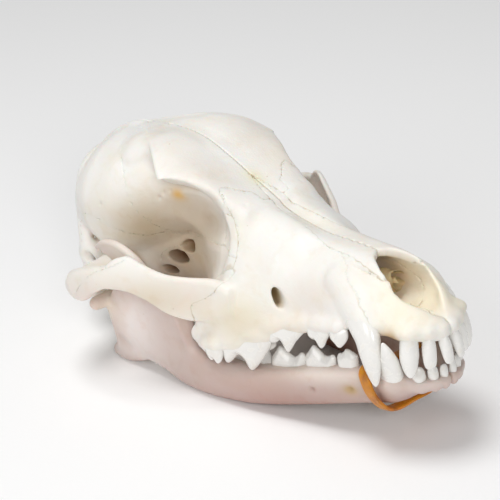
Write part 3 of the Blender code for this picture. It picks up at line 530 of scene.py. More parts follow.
class Clay:
    """A block of signed distances on an even grid, added to and cut by forms."""

    def __init__(self, axes: list[Array], values: Array) -> None:
        """A block over three axes.

        Args:
            axes: the grid's places along x, y and z, all with one spacing.
            values: the field on the grid.
        """
        self.axes = axes
        self.field = values
        self.step = float(axes[0][1] - axes[0][0])

    @classmethod
    def empty(cls, low: Triple, high: Triple, step: float) -> "Clay":
        """A block with nothing in it, between two corners."""
        counts = [int(round((h - l) / step)) + 1 for l, h in zip(low, high)]
        axes = [l + step * np.arange(n, dtype=np.float32) for l, n in zip(low, counts)]
        return cls(axes, np.full(counts, FAR, np.float32))

    def window(self, low: Array, high: Array) -> tuple[slice, ...]:
        """The part of the grid between two corners.

        Args:
            low: the lower corner.
            high: the upper corner.

        Returns:
            A slice for each axis, one place wider than the corners each way.
        """
        cut = []
        for axis, l, h in zip(self.axes, low, high):
            start, stop = np.searchsorted(axis, l), np.searchsorted(axis, h, side="right")
            cut.append(slice(max(start - 1, 0), min(stop + 1, len(axis))))
        return tuple(cut)

    def open_axes(self, window: tuple[slice, ...]) -> tuple[Array, Array, Array]:
        """The window's three axes, ready to spread over each other."""
        x, y, z = (axis[s] for axis, s in zip(self.axes, window))
        return x[:, None, None], y[None, :, None], z[None, None, :]

    def work(self, form: Form, blend: float, sign: int) -> "Clay":
        """Add (sign 1) or cut (sign -1) a form, rounding the join over blend.

        Args:
            form: what is added or cut.
            blend: how wide the join is rounded, in millimetres.
            sign: 1 to add and -1 to cut.

        Returns:
            This block.
        """
        low, high = form.reach()
        margin = blend + FORM_ROOM
        window = self.window(low - margin, high + margin)
        if all(s.stop > s.start for s in window):
            d = form.distance(*self.open_axes(window)).astype(np.float32)
            self.field[window] = sign * melt(sign * self.field[window], d, blend)
        return self

    def add(self, form: Form, blend: float = 0.0) -> "Clay":
        """Add a form."""
        return self.work(form, blend, 1)

    def cut(self, form: Form, blend: float = 0.0) -> "Clay":
        """Take a form away."""
        return self.work(form, blend, -1)

    def soften(self) -> "Clay":
        """Average the field over its neighbours (a quarter, a half, a quarter along each axis)."""
        for axis in range(3):
            f = np.moveaxis(self.field, axis, 0)
            f[1:-1] = 0.25 * (f[:-2] + f[2:]) + 0.5 * f[1:-1]
        return self

    def part(self, window: tuple[slice, ...], values: Array) -> "Clay":
        """A block over a window of this one's grid, holding other values."""
        return Clay([axis[s] for axis, s in zip(self.axes, window)], values)

    def mirrored(self) -> "Clay":
        """The block and its mirror image in y = 0, where its own grid starts."""
        x, y, z = self.axes
        both = np.concatenate((self.field[:, :0:-1], self.field), axis=1)
        return Clay([x, np.concatenate((-y[:0:-1], y)), z], both)

    def crowding(self, reach: float, every: int) -> "Clay":
        """The share of each point's neighbourhood that is solid, on a coarser grid.

        Args:
            reach: half the neighbourhood's width.
            every: how many of this grid's steps one coarse step takes.

        Returns:
            A block of shares: a half on flat ground, more in hollows and less on ridges.
        """
        thin = (slice(None, None, every),) * 3
        share = (self.field[thin] < 0).astype(np.float32)
        n = max(int(round(reach / self.step / every)), 1)
        for axis in (0, 1, 2, 0, 1, 2):
            f = np.moveaxis(share, axis, 0)
            before = f[n::-1] if axis == 1 else 0 * f[n::-1]
            total = np.cumsum(np.concatenate((before, f, 0 * f[:n])), axis=0)
            share = np.moveaxis((total[2 * n + 1 :] - total[: -2 * n - 1]) / (2 * n + 1), 0, axis)
        return Clay([axis[::every] for axis in self.axes], share)

    def read(self, points: Array) -> Array:
        """The field at points, straight lines between the grid's values.

        Args:
            points: one to a row.

        Returns:
            One value to a point.
        """
        low = np.array([axis[0] for axis in self.axes])
        top = np.array(self.field.shape) - 1.001
        p = np.clip((points - low) / self.step, 0, top)
        i = p.astype(int)
        t = p - i
        total = np.zeros(len(points))
        for corner in CORNERS:
            share = np.prod(np.where(corner, t, 1 - t), axis=1)
            j = i + corner
            total += share * self.field[j[:, 0], j[:, 1], j[:, 2]]
        return total

    def drawn(self, points: Array) -> Array:
        """Points moved onto the surface: p - d grad(d) / |grad(d)|^2, no further than half a step.

        Args:
            points: one to a row.

        Returns:
            The moved points.
        """
        reach = 0.5 * self.step
        ways = reach * np.eye(3)
        rise = [(self.read(points + way) - self.read(points - way)) / (2 * reach) for way in ways]
        slope = np.stack(rise, axis=1)
        move = slope * (self.read(points) / np.maximum((slope**2).sum(axis=1), 0.2))[:, None]
        return points - np.clip(move, -reach, reach)

    def skin(self) -> Surface:
        """The zero surface as a net: a point in each cell it crosses, a quad round each edge it cuts.

        Returns:
            The surface, facing out of the solid.
        """
        inside = self.field < 0
        nx, ny, nz = inside.shape
        count = np.zeros((nx - 1, ny - 1, nz - 1), np.int8)
        for i, j, k in CORNERS:
            count += inside[i : nx - 1 + i, j : ny - 1 + j, k : nz - 1 + k]
        cells = (count > 0) & (count < 8)
        number = np.full(cells.shape, -1, np.int64)
        ci, cj, ck = np.nonzero(cells)
        number[ci, cj, ck] = np.arange(len(ci))
        total = np.zeros((len(ci), 3))
        crossings = np.zeros(len(ci))
        values = [self.field[ci + i, cj + j, ck + k].astype(float) for i, j, k in CORNERS]
        for a, b in EDGES:
            crossed = (values[a] < 0) != (values[b] < 0)
            share = np.where(crossed, values[a] / np.where(crossed, values[a] - values[b], 1), 0)
            start, end = np.array(CORNERS[a], float), np.array(CORNERS[b], float)
            total += crossed[:, None] * (start + (end - start) * share[:, None])
            crossings += crossed
        low = np.array([axis[0] for axis in self.axes], float)
        points = (total / crossings[:, None] + np.stack((ci, cj, ck), axis=1)) * self.step + low
        return Surface(points, self.quads(inside, number))

    @staticmethod
    def quads(inside: Array, number: Array) -> Array:
        """One quad for each grid edge whose ends lie on different sides.

        Args:
            inside: whether each grid place is inside the solid.
            number: the number of the point in each cell, -1 where it has none.

        Returns:
            Four points' numbers to a row.
        """
        found = []
        for axis in range(3):
            others = [q for q in range(3) if q != axis]
            before, after = [slice(None)] * 3, [slice(None)] * 3
            before[axis], after[axis] = slice(0, -1), slice(1, None)
            first = inside[tuple(before)]
            crossed = first != inside[tuple(after)]
            for q in others:
                for edge in (0, -1):
                    rim = [slice(None)] * 3
                    rim[q] = edge
                    crossed[tuple(rim)] = False
            at = np.argwhere(crossed)
            u, v = np.zeros(3, int), np.zeros(3, int)
            u[others[0]], v[others[1]] = 1, 1
            quad = np.stack([number[tuple((at - off).T)] for off in (u + v, v, u * 0, u)], axis=1)
            way = first[crossed] if axis != 1 else ~first[crossed]
            found.append(np.where(way[:, None], quad, quad[:, ::-1]))
        return np.vstack(found)


def folded_over(points: Array) -> Array:
    """Points with those of the right side laid over the left."""
    return np.stack((points[:, 0], np.abs(points[:, 1]), points[:, 2]), axis=1)


@dataclass(frozen=True)
class StainAndShade:
    """A soft-edged patch of colour, on both sides: some are the bone's own stains, some painted shade and
    painted glow; its centre and reach in skull millimetres.
    """

    centre: Triple
    radii: Triple
    colour: Triple
    strength: float


@dataclass(frozen=True)
class Palette:
    """A piece's ground colour and the patches of stain, painted shade and painted glow laid over it in turn.
    """

    ground: Triple
    stains_and_shade: tuple[StainAndShade, ...] = ()

    def at(self, points: Array) -> Array:
        """Colours at points: each patch's share falls off from its centre.

        Args:
            points: one to a row, in skull millimetres.

        Returns:
            One colour to a point.
        """
        colour = np.tile(np.array(self.ground), (len(points), 1))
        folded = folded_over(points)
        for stain_and_shade in self.stains_and_shade:
            share = stain_and_shade.strength * falloff(folded, stain_and_shade.centre, stain_and_shade.radii)
            colour += (np.array(stain_and_shade.colour) - colour) * share[:, None]
        return colour


class Slot(Enum):
    """The record's material slots."""

    BONE = "bone"
    JAW = "jaw_bone"
    TEETH = "teeth"
    RUBBER = "rubber"


def build_object(name: str, surface: Surface, material: bpy.types.Material) -> bpy.types.Object:
    """Make a surface into a piece that rides on the skull.

    Args:
        name: the piece's name.
        surface: its skin, in skull millimetres, with the values its finish reads.
        material: its finish.

    Returns:
        The new object, its place in its mesh.
    """
    mesh = bpy.data.meshes.new(name)
    sides = surface.faces.shape[1]
    mesh.vertices.add(len(surface.points))
    mesh.vertices.foreach_set("co", REST.place(surface.points).astype(np.float32).ravel())
    mesh.loops.add(surface.faces.size)
    mesh.loops.foreach_set("vertex_index", surface.faces.astype(np.int32).ravel())
    mesh.polygons.add(len(surface.faces))
    mesh.polygons.foreach_set("loop_start", np.arange(0, surface.faces.size, sides, dtype=np.int32))
    for word, values in surface.values.items():
        if values.ndim == 2:
            values = np.hstack((values, np.ones((len(values), 1))))
            mesh.attributes.new(word, "FLOAT_COLOR", "POINT").data.foreach_set("color", values.ravel())
        else:
            mesh.attributes.new(word, "FLOAT", "POINT").data.foreach_set("value", values)
    mesh.update(calc_edges=True)
    mesh.validate()
    mesh.shade_smooth()
    mesh.set_sharp_from_angle(angle=math.radians(SHARP_DEG))
    mesh.materials.append(material)
    piece = bpy.data.objects.new(name, mesh)
    bpy.context.scene.collection.objects.link(piece)
    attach(piece, "root")
    LOG.info("%s: %d faces", name, len(surface.faces))
    return piece


Socket = bpy.types.NodeSocket


class Wiring:
    """A new material's node tree, with short ways to add to it."""

    def __init__(self, name: str) -> None:
        """Start the material with its shader and its Object coordinates."""
        self.material = bpy.data.materials.new(name)
        self.material.use_nodes = True
        self.tree = self.material.node_tree
        self.shader = self.tree.nodes["Principled BSDF"]
        self.where = self.tree.nodes.new("ShaderNodeTexCoord").outputs["Object"]

    def put(self, target: Socket, value: Socket | float | Triple) -> None:
        """Link a socket, or set the number or colour straight on it."""
        if isinstance(value, bpy.types.NodeSocket):
            self.tree.links.new(value, target)
        elif isinstance(value, tuple):
            target.default_value = (*value, 1)
        else:
            target.default_value = value

    def value(self, name: str) -> Socket:
        """A number kept at the mesh's points."""
        node = self.tree.nodes.new("ShaderNodeAttribute")
        node.attribute_name = name
        return node.outputs["Fac"]

    def colour(self, name: str) -> Socket:
        """A colour kept at the mesh's points."""
        node = self.tree.nodes.new("ShaderNodeAttribute")
        node.attribute_name = name
        return node.outputs["Color"]

    def noise(self, scale: float, detail: float = 3.0, twist: float = 0.0) -> Socket:
        """Cloudy noise, scale lumps to the metre.

        Args:
            scale: lumps to the metre.
            detail: how many finer layers it has.
            twist: how far it is drawn out of shape.

        Returns:
            The socket of its strength.
        """
        node = self.tree.nodes.new("ShaderNodeTexNoise")
        self.tree.links.new(self.where, node.inputs["Vector"])
        node.inputs["Scale"].default_value = scale
        node.inputs["Detail"].default_value = detail
        node.inputs["Distortion"].default_value = twist
        return node.outputs["Fac"]

    def pits(self, scale: float) -> Socket:
        """Distance to the nearest of many scattered points, scale to the metre."""
        node = self.tree.nodes.new("ShaderNodeTexVoronoi")
        self.tree.links.new(self.where, node.inputs["Vector"])
        node.inputs["Scale"].default_value = scale
        return node.outputs["Distance"]

    def ease(self, value: Socket, low: float, high: float, start: float = 0.0, end: float = 1.0) -> Socket:
        """A smooth step from start to end as value goes from low to high.

        Args:
            value: what is read.
            low: where the step starts.
            high: where it ends.
            start: the result below low.
            end: the result above high.

        Returns:
            The socket of the result.
        """
        node = self.tree.nodes.new("ShaderNodeMapRange")
        node.interpolation_type = "SMOOTHSTEP"
        self.put(node.inputs["Value"], value)
        for word, number in (("From Min", low), ("From Max", high), ("To Min", start), ("To Max", end)):
            node.inputs[word].default_value = number
        return node.outputs["Result"]

    def maths(self, operation: str, a: Socket | float, b: Socket | float) -> Socket:
        """Two numbers combined.

        Args:
            operation: the name of Blender's operation.
            a: the first number.
            b: the second.

        Returns:
            The socket of the result.
        """
        node = self.tree.nodes.new("ShaderNodeMath")
        node.operation = operation
        self.put(node.inputs[0], a)
        self.put(node.inputs[1], b)
        return node.outputs[0]

    def mix(self, share: Socket | float, a: Socket | Triple, b: Socket | Triple, way: str = "MIX") -> Socket:
        """Two colours mixed.

        Args:
            share: how much of the second, 0 to 1.
            a: the first colour.
            b: the second.
            way: how they are laid over each other.

        Returns:
            The socket of the result.
        """
        node = self.tree.nodes.new("ShaderNodeMix")
        node.data_type = "RGBA"
        node.blend_type = way
        self.put(node.inputs[0], share)
        self.put(node.inputs[6], a)
        self.put(node.inputs[7], b)
        return node.outputs[2]

    def bump(self, height: Socket, distance: float, strength: float) -> None:
        """Roughen the shader's normal by a height in parts of a distance in metres.

        Args:
            height: the socket of the height, 0 to 1.
            distance: what a height of 1 stands for, in metres.
            strength: how much of it shows.
        """
        node = self.tree.nodes.new("ShaderNodeBump")
        node.inputs["Distance"].default_value = distance
        node.inputs["Strength"].default_value = strength
        self.tree.links.new(height, node.inputs["Height"])
        self.tree.links.new(node.outputs["Normal"], self.shader.inputs["Normal"])

    def finish(self, **values: Socket | float | Triple) -> bpy.types.Material:
        """Put values on the shader, words joined by _ for its inputs' names, and return the material."""
        for word, value in values.items():
            self.put(self.shader.inputs[word.replace("_", " ")], value)
        return self.material


@dataclass(frozen=True)
class BoneFinish:
    """Bleached, dried bone: painted tone, mottling, painted shade in hollows, tan sutures, pores and grain.
    """

    name: str
    warm: Triple
    # Colour of the painted shade in hollows.
    deep: Triple
    seam: Triple = (0.63, 0.52, 0.36)
    # Strength of the painted shade in hollows.
    hollow_shade: float = 0.75

    def material(self) -> bpy.types.Material:
        """The finish, reading Object coordinates and the mesh's own tone, hollow and seam values."""
        w = Wiring(self.name)
        mottle, grain = w.noise(210, 5, 0.4), w.noise(1500, 3)
        warmth = w.ease(w.noise(48, 4, 0.6), 0.44, 0.7, 0, 0.5)
        colour = w.mix(warmth, w.colour("tone"), self.warm, "MULTIPLY")
        colour = w.mix(w.ease(mottle, 0.5, 0.74, 0, 0.4), colour, self.warm, "MULTIPLY")
        # Painted shade: the hollow value darkens the colour towards deep, by an amount varied by the
        # mottling.
        shade_strength = w.ease(mottle, 0.3, 0.7, 0.75 * self.hollow_shade, self.hollow_shade)
        colour = w.mix(w.maths("MULTIPLY", w.value("hollow"), shade_strength), colour, self.deep, "MULTIPLY")
        ragged = w.maths("ADD", w.value("seam"), w.maths("MULTIPLY", grain, 0.08))
        broken = w.ease(w.noise(90, 2), 0.35, 0.65, 0.15, 1)
        line = w.maths("MULTIPLY", w.ease(ragged, 0, 0.36, 0.6, 0), broken)
        colour = w.mix(line, colour, self.seam)
        scattered = w.ease(w.noise(55, 2), 0.56, 0.66, 0, 0.6)
        pore = w.maths("MULTIPLY", w.ease(w.pits(330), 0.05, 0.13, 1, 0), scattered)
        colour = w.mix(pore, colour, self.seam)
        height = w.maths("ADD", w.maths("MULTIPLY", grain, 0.35), w.maths("MULTIPLY", mottle, 0.8))
        height = w.maths("SUBTRACT", height, w.maths("MULTIPLY", pore, 0.8))
        w.bump(height, distance=0.0005, strength=0.35)
        w.finish(Subsurface_Weight=0.12, Subsurface_Scale=0.002)
        return w.finish(Base_Color=colour, Roughness=w.ease(mottle, 0.3, 0.7, 0.42, 0.62))


@dataclass(frozen=True)
class EnamelFinish:
    """Glossy enamel, creamy, stained at the gum line and darkened by painted shade where bone crowds it,
    with faint upright crazing.
    """

    name: str
    root: Triple = (0.62, 0.47, 0.27)
    cream: Triple = (0.93, 0.86, 0.74)

    def material(self) -> bpy.types.Material:
        """The finish, reading Object coordinates and the mesh's own tone and hollow values."""
        w = Wiring(self.name)
        cloud, fine = w.noise(300, 4, 0.5), w.noise(2200, 2)
        colour = w.mix(w.ease(cloud, 0.5, 0.75, 0, 0.3), w.colour("tone"), self.cream, "MULTIPLY")
        # Root-coloured gum-line stain together with painted shade: the hollow value, how crowded the tooth
        # is by bone, darkens it towards root.
        stain_and_shade = w.maths("MULTIPLY", w.value("hollow"), w.ease(cloud, 0.35, 0.65, 0.45, 0.95))
        colour = w.mix(stain_and_shade, colour, self.root, "MULTIPLY")
        w.bump(w.maths("ADD", cloud, w.maths("MULTIPLY", fine, 0.2)), distance=0.0003, strength=0.2)
        return w.finish(Base_Color=colour, Roughness=w.ease(cloud, 0.3, 0.7, 0.16, 0.34), Coat_Weight=0.4)


@dataclass(frozen=True)
class RubberFinish:
    """Aged amber rubber: darker clouds, a waxy bloom and fine scuffs."""

    name: str
    ground: Triple = (0.64, 0.21, 0.006)
    dark: Triple = (0.36, 0.10, 0.004)
    bloom: Triple = (0.9, 0.6, 0.3)

    def material(self) -> bpy.types.Material:
        """The finish, reading Object coordinates."""
        w = Wiring(self.name)
        cloud, scuff = w.noise(160, 4, 0.5), w.noise(1800, 3)
        colour = w.mix(w.ease(cloud, 0.4, 0.7), self.ground, self.dark)
        colour = w.mix(w.ease(scuff, 0.58, 0.8, 0, 0.35), colour, self.bloom)
        w.bump(w.maths("ADD", scuff, cloud), distance=0.0002, strength=0.3)
        rough = w.ease(scuff, 0.3, 0.7, 0.28, 0.5)
        return w.finish(Base_Color=colour, Roughness=rough, Subsurface_Weight=0.2)


@dataclass(frozen=True)
class PaperFinish:
    """Matt white paper with a faint tooth."""

    name: str
    ground: Triple = (0.97, 0.97, 0.97)
    tooth: Triple = (0.93, 0.93, 0.92)

    def material(self) -> bpy.types.Material:
        """The finish, reading Object coordinates."""
        w = Wiring(self.name)
        fibre = w.noise(900, 4)
        colour = w.mix(w.ease(fibre, 0.3, 0.7, 0, 0.15), self.ground, self.tooth)
        w.bump(fibre, distance=0.0001, strength=0.1)
        return w.finish(Base_Color=colour, Roughness=0.9)


@dataclass(frozen=True)
class Shade:
    """Where painted shade gathers: how crowded a point is by bone within a wide and a close reach."""

    wide: Clay
    close: Clay

    @classmethod
    def of(cls, clay: Clay) -> "Shade":
        """The shade of a block, read on coarser grids where its own is fine."""
        every = 2 if clay.step < 0.8 else 1
        return cls(clay.crowding(5.0, 2 * every), clay.crowding(1.3, every))

    def at(self, points: Array) -> Array:
        """0 on open ground to 1 deep in a hollow, the same on both sides.

        Args:
            points: one to a row, in skull millimetres.

        Returns:
            One value to a point.
        """
        folded = folded_over(points)
        wide = ramp(self.wide.read(folded), 0.52, 0.86)
        close = ramp(self.close.read(folded), 0.56, 0.86)
        return 1 - (1 - wide) * (1 - close)


@dataclass(frozen=True)
class Bone:
    """One bone of the upper skull: its region of the whole, and the nodes of the model that it dresses."""

    name: str
    region: Form
    nodes: tuple[str, ...]


@dataclass(frozen=True)
class Cranium:
    """The upper skull without its teeth.

    Between its bones lies gap, negative because they overlap; split is what each side's bones
    keep clear of the midline. The painted shade in hollows leaves out a place in the nose,
    nose_centre and nose_reach, where the painted glow shows.
    """

    low: Triple = (-163.0, 0.0, -9.0)
    high: Triple = (5.0, 52.0, 61.0)
    gap: float = -0.08
    split: float = 0.03
    nose_centre: Triple = (-16.0, 0.0, 12.0)
    nose_reach: Triple = (16.0, 9.0, 8.0)
    orbit_hollow: Ball = Ball((-83, 36, 30), (26, 23, 20))
    hinge_root: Ball = Ball((-121, 34, 13.6), (7, 10.5, 3.2))
    hinge_hollow: Ball = Ball((-119.8, 32.5, 7.9), (5, 12, 3.6))
    ear_capsule: Ball = Ball((-133.5, 15.5, 8), (11, 8, 8.5), (0, 0, 12))
    ear_knob: Ball = Ball((-139, 22.2, 15), (4.2, 4, 4))
    ear_canal: Rows = ((-137.5, 20, 13.5, 2, 2), (-139.5, 28.5, 15, 2.4, 2.4))
    condyle: Ball = Ball((-152, 9.5, 14), (6, 4.8, 7), (0, 0, 25))
    neck_opening: Ball = Ball((-159, 0, 19.5), (9, 7.6, 7))
    septum: Rows = ((-6, 0, 4.4, 1.2, 1.8), (-24, 0, 4.6, 1.2, 3), (-40, 0, 5, 1.4, 4))
    braincase: Rows = (
        (-155.5, 30.5, 3, 3, 2, 0),
        (-154.5, 30.5, 9, 7, 2, 0),
        (-151, 30.2, 15.2, 12.6, 2, 0),
        (-146, 30.2, 19.8, 16.6, 2, 0),
        (-140, 30.6, 23.3, 19.8, 2, 0),
        (-130, 31.8, 26.7, 22.1, 2, 0),
        (-120, 33, 26.4, 21.9, 2, 0),
        (-112, 34.5, 24, 20.2, 2, 0.02),
        (-104, 35.5, 20.4, 18.2, 2.1, 0.1),
        (-96, 35.5, 17.6, 16.5, 2.1, 0.14),
        (-88, 34, 15.8, 15, 2.2, 0.12),
        (-78, 30, 14.6, 12.5, 2.3, 0),
        (-70, 26, 14, 9, 2.3, 0),
    )
    base: Rows = (
        (-154, 15, 9, 4, 2.3, 0),
        (-145, 13, 11, 4.5, 2.3, 0),
        (-130, 12, 14, 5, 2.3, 0),
        (-120, 12, 13.4, 6, 2.3, 0),
        (-112, 13, 12, 7.6, 2.3, 0),
        (-104, 13.6, 10.6, 9, 2.3, 0),
        (-92, 15, 9.6, 10.5, 2.3, 0),
        (-80, 17, 12, 10, 2.3, 0),
    )
    forehead: tuple = (
        (-124, (0, 46), (6, 46), (10, 48), (9.4, 50.6), (6.6, 52.9), (3.2, 54.2), (0, 54.6)),
        (-119, (0, 45), (12, 45), (16.5, 48), (15.5, 51), (11, 53.6), (5.4, 54.8), (0, 55)),
        (-112, (0, 43), (15, 43), (19, 47), (17.6, 51), (13.4, 54.5), (6.2, 55.3), (0, 54.8)),
        (-104, (0, 42), (15.2, 44), (16.8, 49.4), (15.2, 53.8), (11.4, 55.2), (6, 55), (0, 54.2)),
        (-97, (0, 41), (14.2, 44), (17.8, 50), (18.2, 52.2), (13.6, 53.7), (7, 53.9), (0, 52.8)),
        (-91, (0, 41), (17.4, 43), (22.4, 46), (22.4, 47.9), (15.8, 50.8), (7.4, 51.6), (0, 50.4)),
        (-88.4, (0, 41), (20.4, 42.6), (24.2, 44.4), (22.8, 46.5), (16.2, 49.2), (7.6, 49.8), (0, 48.8)),
        (-82, (0, 39), (17.4, 41.2), (20.9, 43.6), (19.4, 45.2), (14.8, 46.6), (7, 46.2), (0, 44.9)),
        (-76, (0, 36), (14, 38), (17, 41), (16.2, 42.4), (12.8, 42.7), (6.5, 41.4), (0, 40.6)),
        (-70, (0, 33), (12, 34.5), (15.2, 36.2), (14.4, 37.6), (11.2, 38), (6, 37.6), (0, 37.2)),
        (-64, (0, 30), (10, 31), (13.6, 32), (12.8, 33.4), (9.8, 34.2), (6, 34.2), (0, 33)),
    )
    muzzle: tuple = (
        (
            -97, (0, 9), (4, 8.6), (6, 8), (7, 9), (7.6, 11),
            (8, 15), (8.4, 22), (9.4, 33), (7, 41), (0, 42),
        ),
        (
            -89, (0, 6), (8, 5), (11.4, 3.4), (13, 4.6), (13.4, 8),
            (12.8, 12), (11.8, 20), (13.6, 33), (11.4, 42.6), (0, 43.6),
        ),
        (
            -82.5, (0, 4.5), (15, 2), (22.4, -4), (26, -1.6), (25.6, 4),
            (18, 9), (14.5, 20), (15, 33), (12, 42), (0, 42.8),
        ),
        (
            -79, (0, 3.5), (16, 1), (25.6, -6.4), (29, -3), (28, 5.4),
            (21, 11), (15.5, 20), (15.5, 33), (11, 41), (0, 41.5),
        ),
        (
            -72, (0, 3), (17, 1), (25.8, -7), (28.9, -3), (28.2, 5),
            (25, 12), (18, 21), (17.2, 32), (12.4, 38.2), (0, 37.6),
        ),
        (
            -66, (0, 2.8), (17, 1), (25.4, -6), (27.9, -1.4), (27, 6.6),
            (24.4, 13.6), (19.4, 25.4), (14.8, 33), (8, 35.6), (0, 34.4),
        ),
        (
            -61, (0, 2.6), (16.5, 1), (24.2, -3.8), (26.1, 1), (25.5, 8),
            (22.8, 15.2), (18.2, 24.4), (13.4, 30.4), (6.6, 33), (0, 31.6),
        ),
        (
            -56, (0, 2.5), (15, 1), (22.6, -2.4), (24.2, 2), (23.1, 8.6),
            (20.6, 15.6), (16.6, 23), (12.2, 28.4), (5.4, 31), (0, 29.3),
        ),
        (
            -50, (0, 2.5), (13.5, 1.5), (20.4, -0.4), (21.4, 4), (20.6, 10),
            (18.3, 17), (15, 22.7), (10.8, 26.6), (5, 28.9), (0, 27.2),
        ),
        (
            -42, (0, 2.5), (12, 1.5), (17.6, 0.8), (18.3, 4.5), (17.4, 10),
            (15, 15.5), (12.2, 19.8), (9.2, 22.8), (5.4, 25.5), (0, 25.1),
        ),
        (
            -33, (0, 2.2), (11, 1.5), (15.5, 1.8), (16, 5), (15.1, 9.7),
            (13, 14.2), (10.8, 17.7), (8.4, 20.8), (5.2, 23.6), (0, 24),
        ),
        (
            -25, (0, 2), (10.8, 2), (15.6, 3.2), (16.2, 6.6), (15.2, 10.3),
            (13, 13.9), (10.8, 16.9), (8.4, 19.6), (5.2, 22.2), (0, 22.7),
        ),
        (
            -18, (0, 1.5), (10, 2.2), (15.4, 4), (16.3, 7.4), (15, 10.6),
            (12.9, 13.2), (11, 15.5), (8.8, 18), (5.4, 20.7), (0, 21.4),
        ),
        (
            -13, (0, 0.8), (9, 1), (13.4, 2.4), (14.3, 5.8), (13.2, 9),
            (11.4, 11.6), (10, 13.9), (8.6, 16.4), (5.4, 19.2), (0, 20),
        ),
        (
            -8, (0, 0), (7.3, -0.2), (11.4, 0.8), (12.2, 3.6), (11.5, 6.3),
            (10.1, 8.5), (8.9, 10.3), (7.4, 11.5), (4, 12), (0, 12),
        ),
        (
            -3, (0, -0.6), (5.2, -0.8), (8.4, 0.2), (9, 2.2), (8.4, 4.2),
            (7.3, 5.8), (6.2, 6.9), (5, 7.5), (2.6, 7.4), (0, 7),
        ),
        (
            0.2, (0, -1), (2.8, -1.1), (5, -0.6), (5.6, 0.6), (5.2, 1.9),
            (4.4, 2.9), (3.6, 3.7), (2.6, 4.2), (1.2, 4.2), (0, 4),
        ),
        (
            1.4, (0, -0.4), (1.4, -0.4), (2.6, -0.2), (2.9, 0.4), (2.7, 1),
            (2.2, 1.6), (1.8, 2), (1.3, 2.2), (0.6, 2.2), (0, 2.2),
        ),
    )
    arch: Rows = (
        (-63, 5, 14, 24.2, 24.8, 3, 2.4, 0),
        (-69, 3, 16.8, 26, 27.4, 3.2, 1.8, 0),
        (-75, 3.2, 18, 29.9, 31.4, 2.4, 1.5, 0.3),
        (-81, 6, 20, 35, 35.8, 1.8, 1.3, 0.8),
        (-87, 12, 23.6, 39.4, 38.8, 1.7, 1.1, 1),
        (-91.5, 15.4, 26.6, 42.6, 40.8, 1.8, 0.9, 0.9),
        (-95, 16.2, 26, 44, 42.6, 1.9, 1, 0.8),
        (-99, 16.4, 23.8, 45.4, 44.2, 2, 1.5, 0.7),
        (-105, 14.4, 23.2, 46.6, 45.8, 2.1, 1.9, 0.5),
        (-112, 11, 21.8, 46.8, 46.2, 1.9, 2, 0.4),
        (-117.5, 11, 19.6, 45, 44.8, 2.3, 2.4, 0.3),
        (-121, 11.6, 16.6, 42.5, 42, 2.8, 2.6, 0),
    )
    wings: Rows = (
        (-120, 5, 14, 10.6, 12, 1.2, 2, 0),
        (-116, 2.4, 15, 10.2, 11.6, 1.2, 2, 0),
        (-110, 1, 16, 9.6, 11, 1.2, 2, 0),
        (-104, 0.6, 18, 8.8, 10, 1.2, 2, 0),
        (-98, 1.4, 18, 8.3, 9.6, 0.9, 2.4, 0),
        (-90, 2.4, 20, 8.6, 9.6, 1.2, 3, 0),
        (-82, 1.6, 22, 9.8, 11, 2.4, 3.4, 0),
        (-74, 1.4, 24, 11, 12, 3, 4, 0),
    )
    cavity: Rows = (
        (4, 13, 2.6, 8, 2.2, 0),
        (0.4, 12.6, 2.9, 8.2, 2.2, 0.1),
        (-3, 12.7, 4.3, 8.2, 2.2, 0.1),
        (-8, 12.2, 6.9, 8.2, 2.2, 0.05),
        (-12.5, 11.9, 7.8, 7.6, 2.2, 0),
        (-17, 12, 8, 7.4, 2.2, -0.12),
        (-25, 12.2, 7.8, 7.6, 2.2, -0.12),
        (-35, 12.8, 8, 7.6, 2.2, -0.1),
        (-42, 13, 5, 5, 2.2, 0),
    )
    throat: Rows = (
        (-112, 2, 3, 2.4, 2, 0),
        (-100, 4, 6, 4.4, 2.2, 0),
        (-88, 5.6, 6, 5.4, 2.2, 0),
        (-80, 6.6, 5.6, 5.2, 2.2, 0),
        (-76, 7, 4, 3.6, 2.2, 0),
    )
    canine_swelling: Rows = (
        (-16.5, 14.6, 4, 2.8, 4.4), (-20, 13.8, 9.5, 2.6, 4), (-26, 12, 14, 2.4, 3.4),
        (-31, 10.8, 16.4, 2, 2.6),
    )
    temporal_line: Rows = (
        (-89, 24.2, 44.8, 0.8, 1), (-92.6, 22, 48, 0.7, 0.9), (-97.9, 18.3, 52, 0.7, 0.9),
        (-106, 12.6, 54.4, 0.7, 0.7), (-116, 6, 54.8, 0.7, 0.6), (-124, 1.4, 54.2, 0.7, 0.7),
    )
    temporal_root: Rows = (
        (-116, 45.6, 15.4, 2.6, 4.2), (-121.5, 42.8, 13.8, 3, 3.6), (-125, 38, 12.8, 3.6, 3.2),
        (-126.5, 32, 12.4, 4.5, 3), (-126, 26, 13.4, 5, 3.4),
    )
    hinge_stop: Rows = ((-127.5, 31, 13, 4.5, 2.4), (-127.5, 31.5, 7, 4, 1.9), (-126.5, 31.5, 4.2, 2.4, 1.3))
    neck_process: Rows = ((-143.5, 19.5, 15, 5, 2.6), (-145, 19.5, 7, 3.2, 1.9), (-144.6, 19.3, 1, 1.6, 1.1))
    nuchal_crest: Rows = (
        (-156.2, 0, 41.6, 2.4, 2), (-155.2, 5, 41.2, 1.6, 2.4), (-152.3, 11, 38.2, 1.5, 2.6),
        (-148.3, 16.3, 32.2, 1.5, 2.6), (-144.3, 20.4, 24.5, 1.6, 2.6), (-141.5, 23, 17, 2, 2.8),
        (-140.5, 23.6, 11.5, 2.4, 2.8),
    )
    sagittal_crest: Rows = (
        (-156, 0, 40.2, 1.5, 2.6), (-150, 0, 44.8, 1.4, 2.6), (-142, 0, 49, 1.4, 2.4),
        (-134, 0, 52, 1.4, 2.2), (-126, 0, 53.8, 1.4, 1.6),
    )
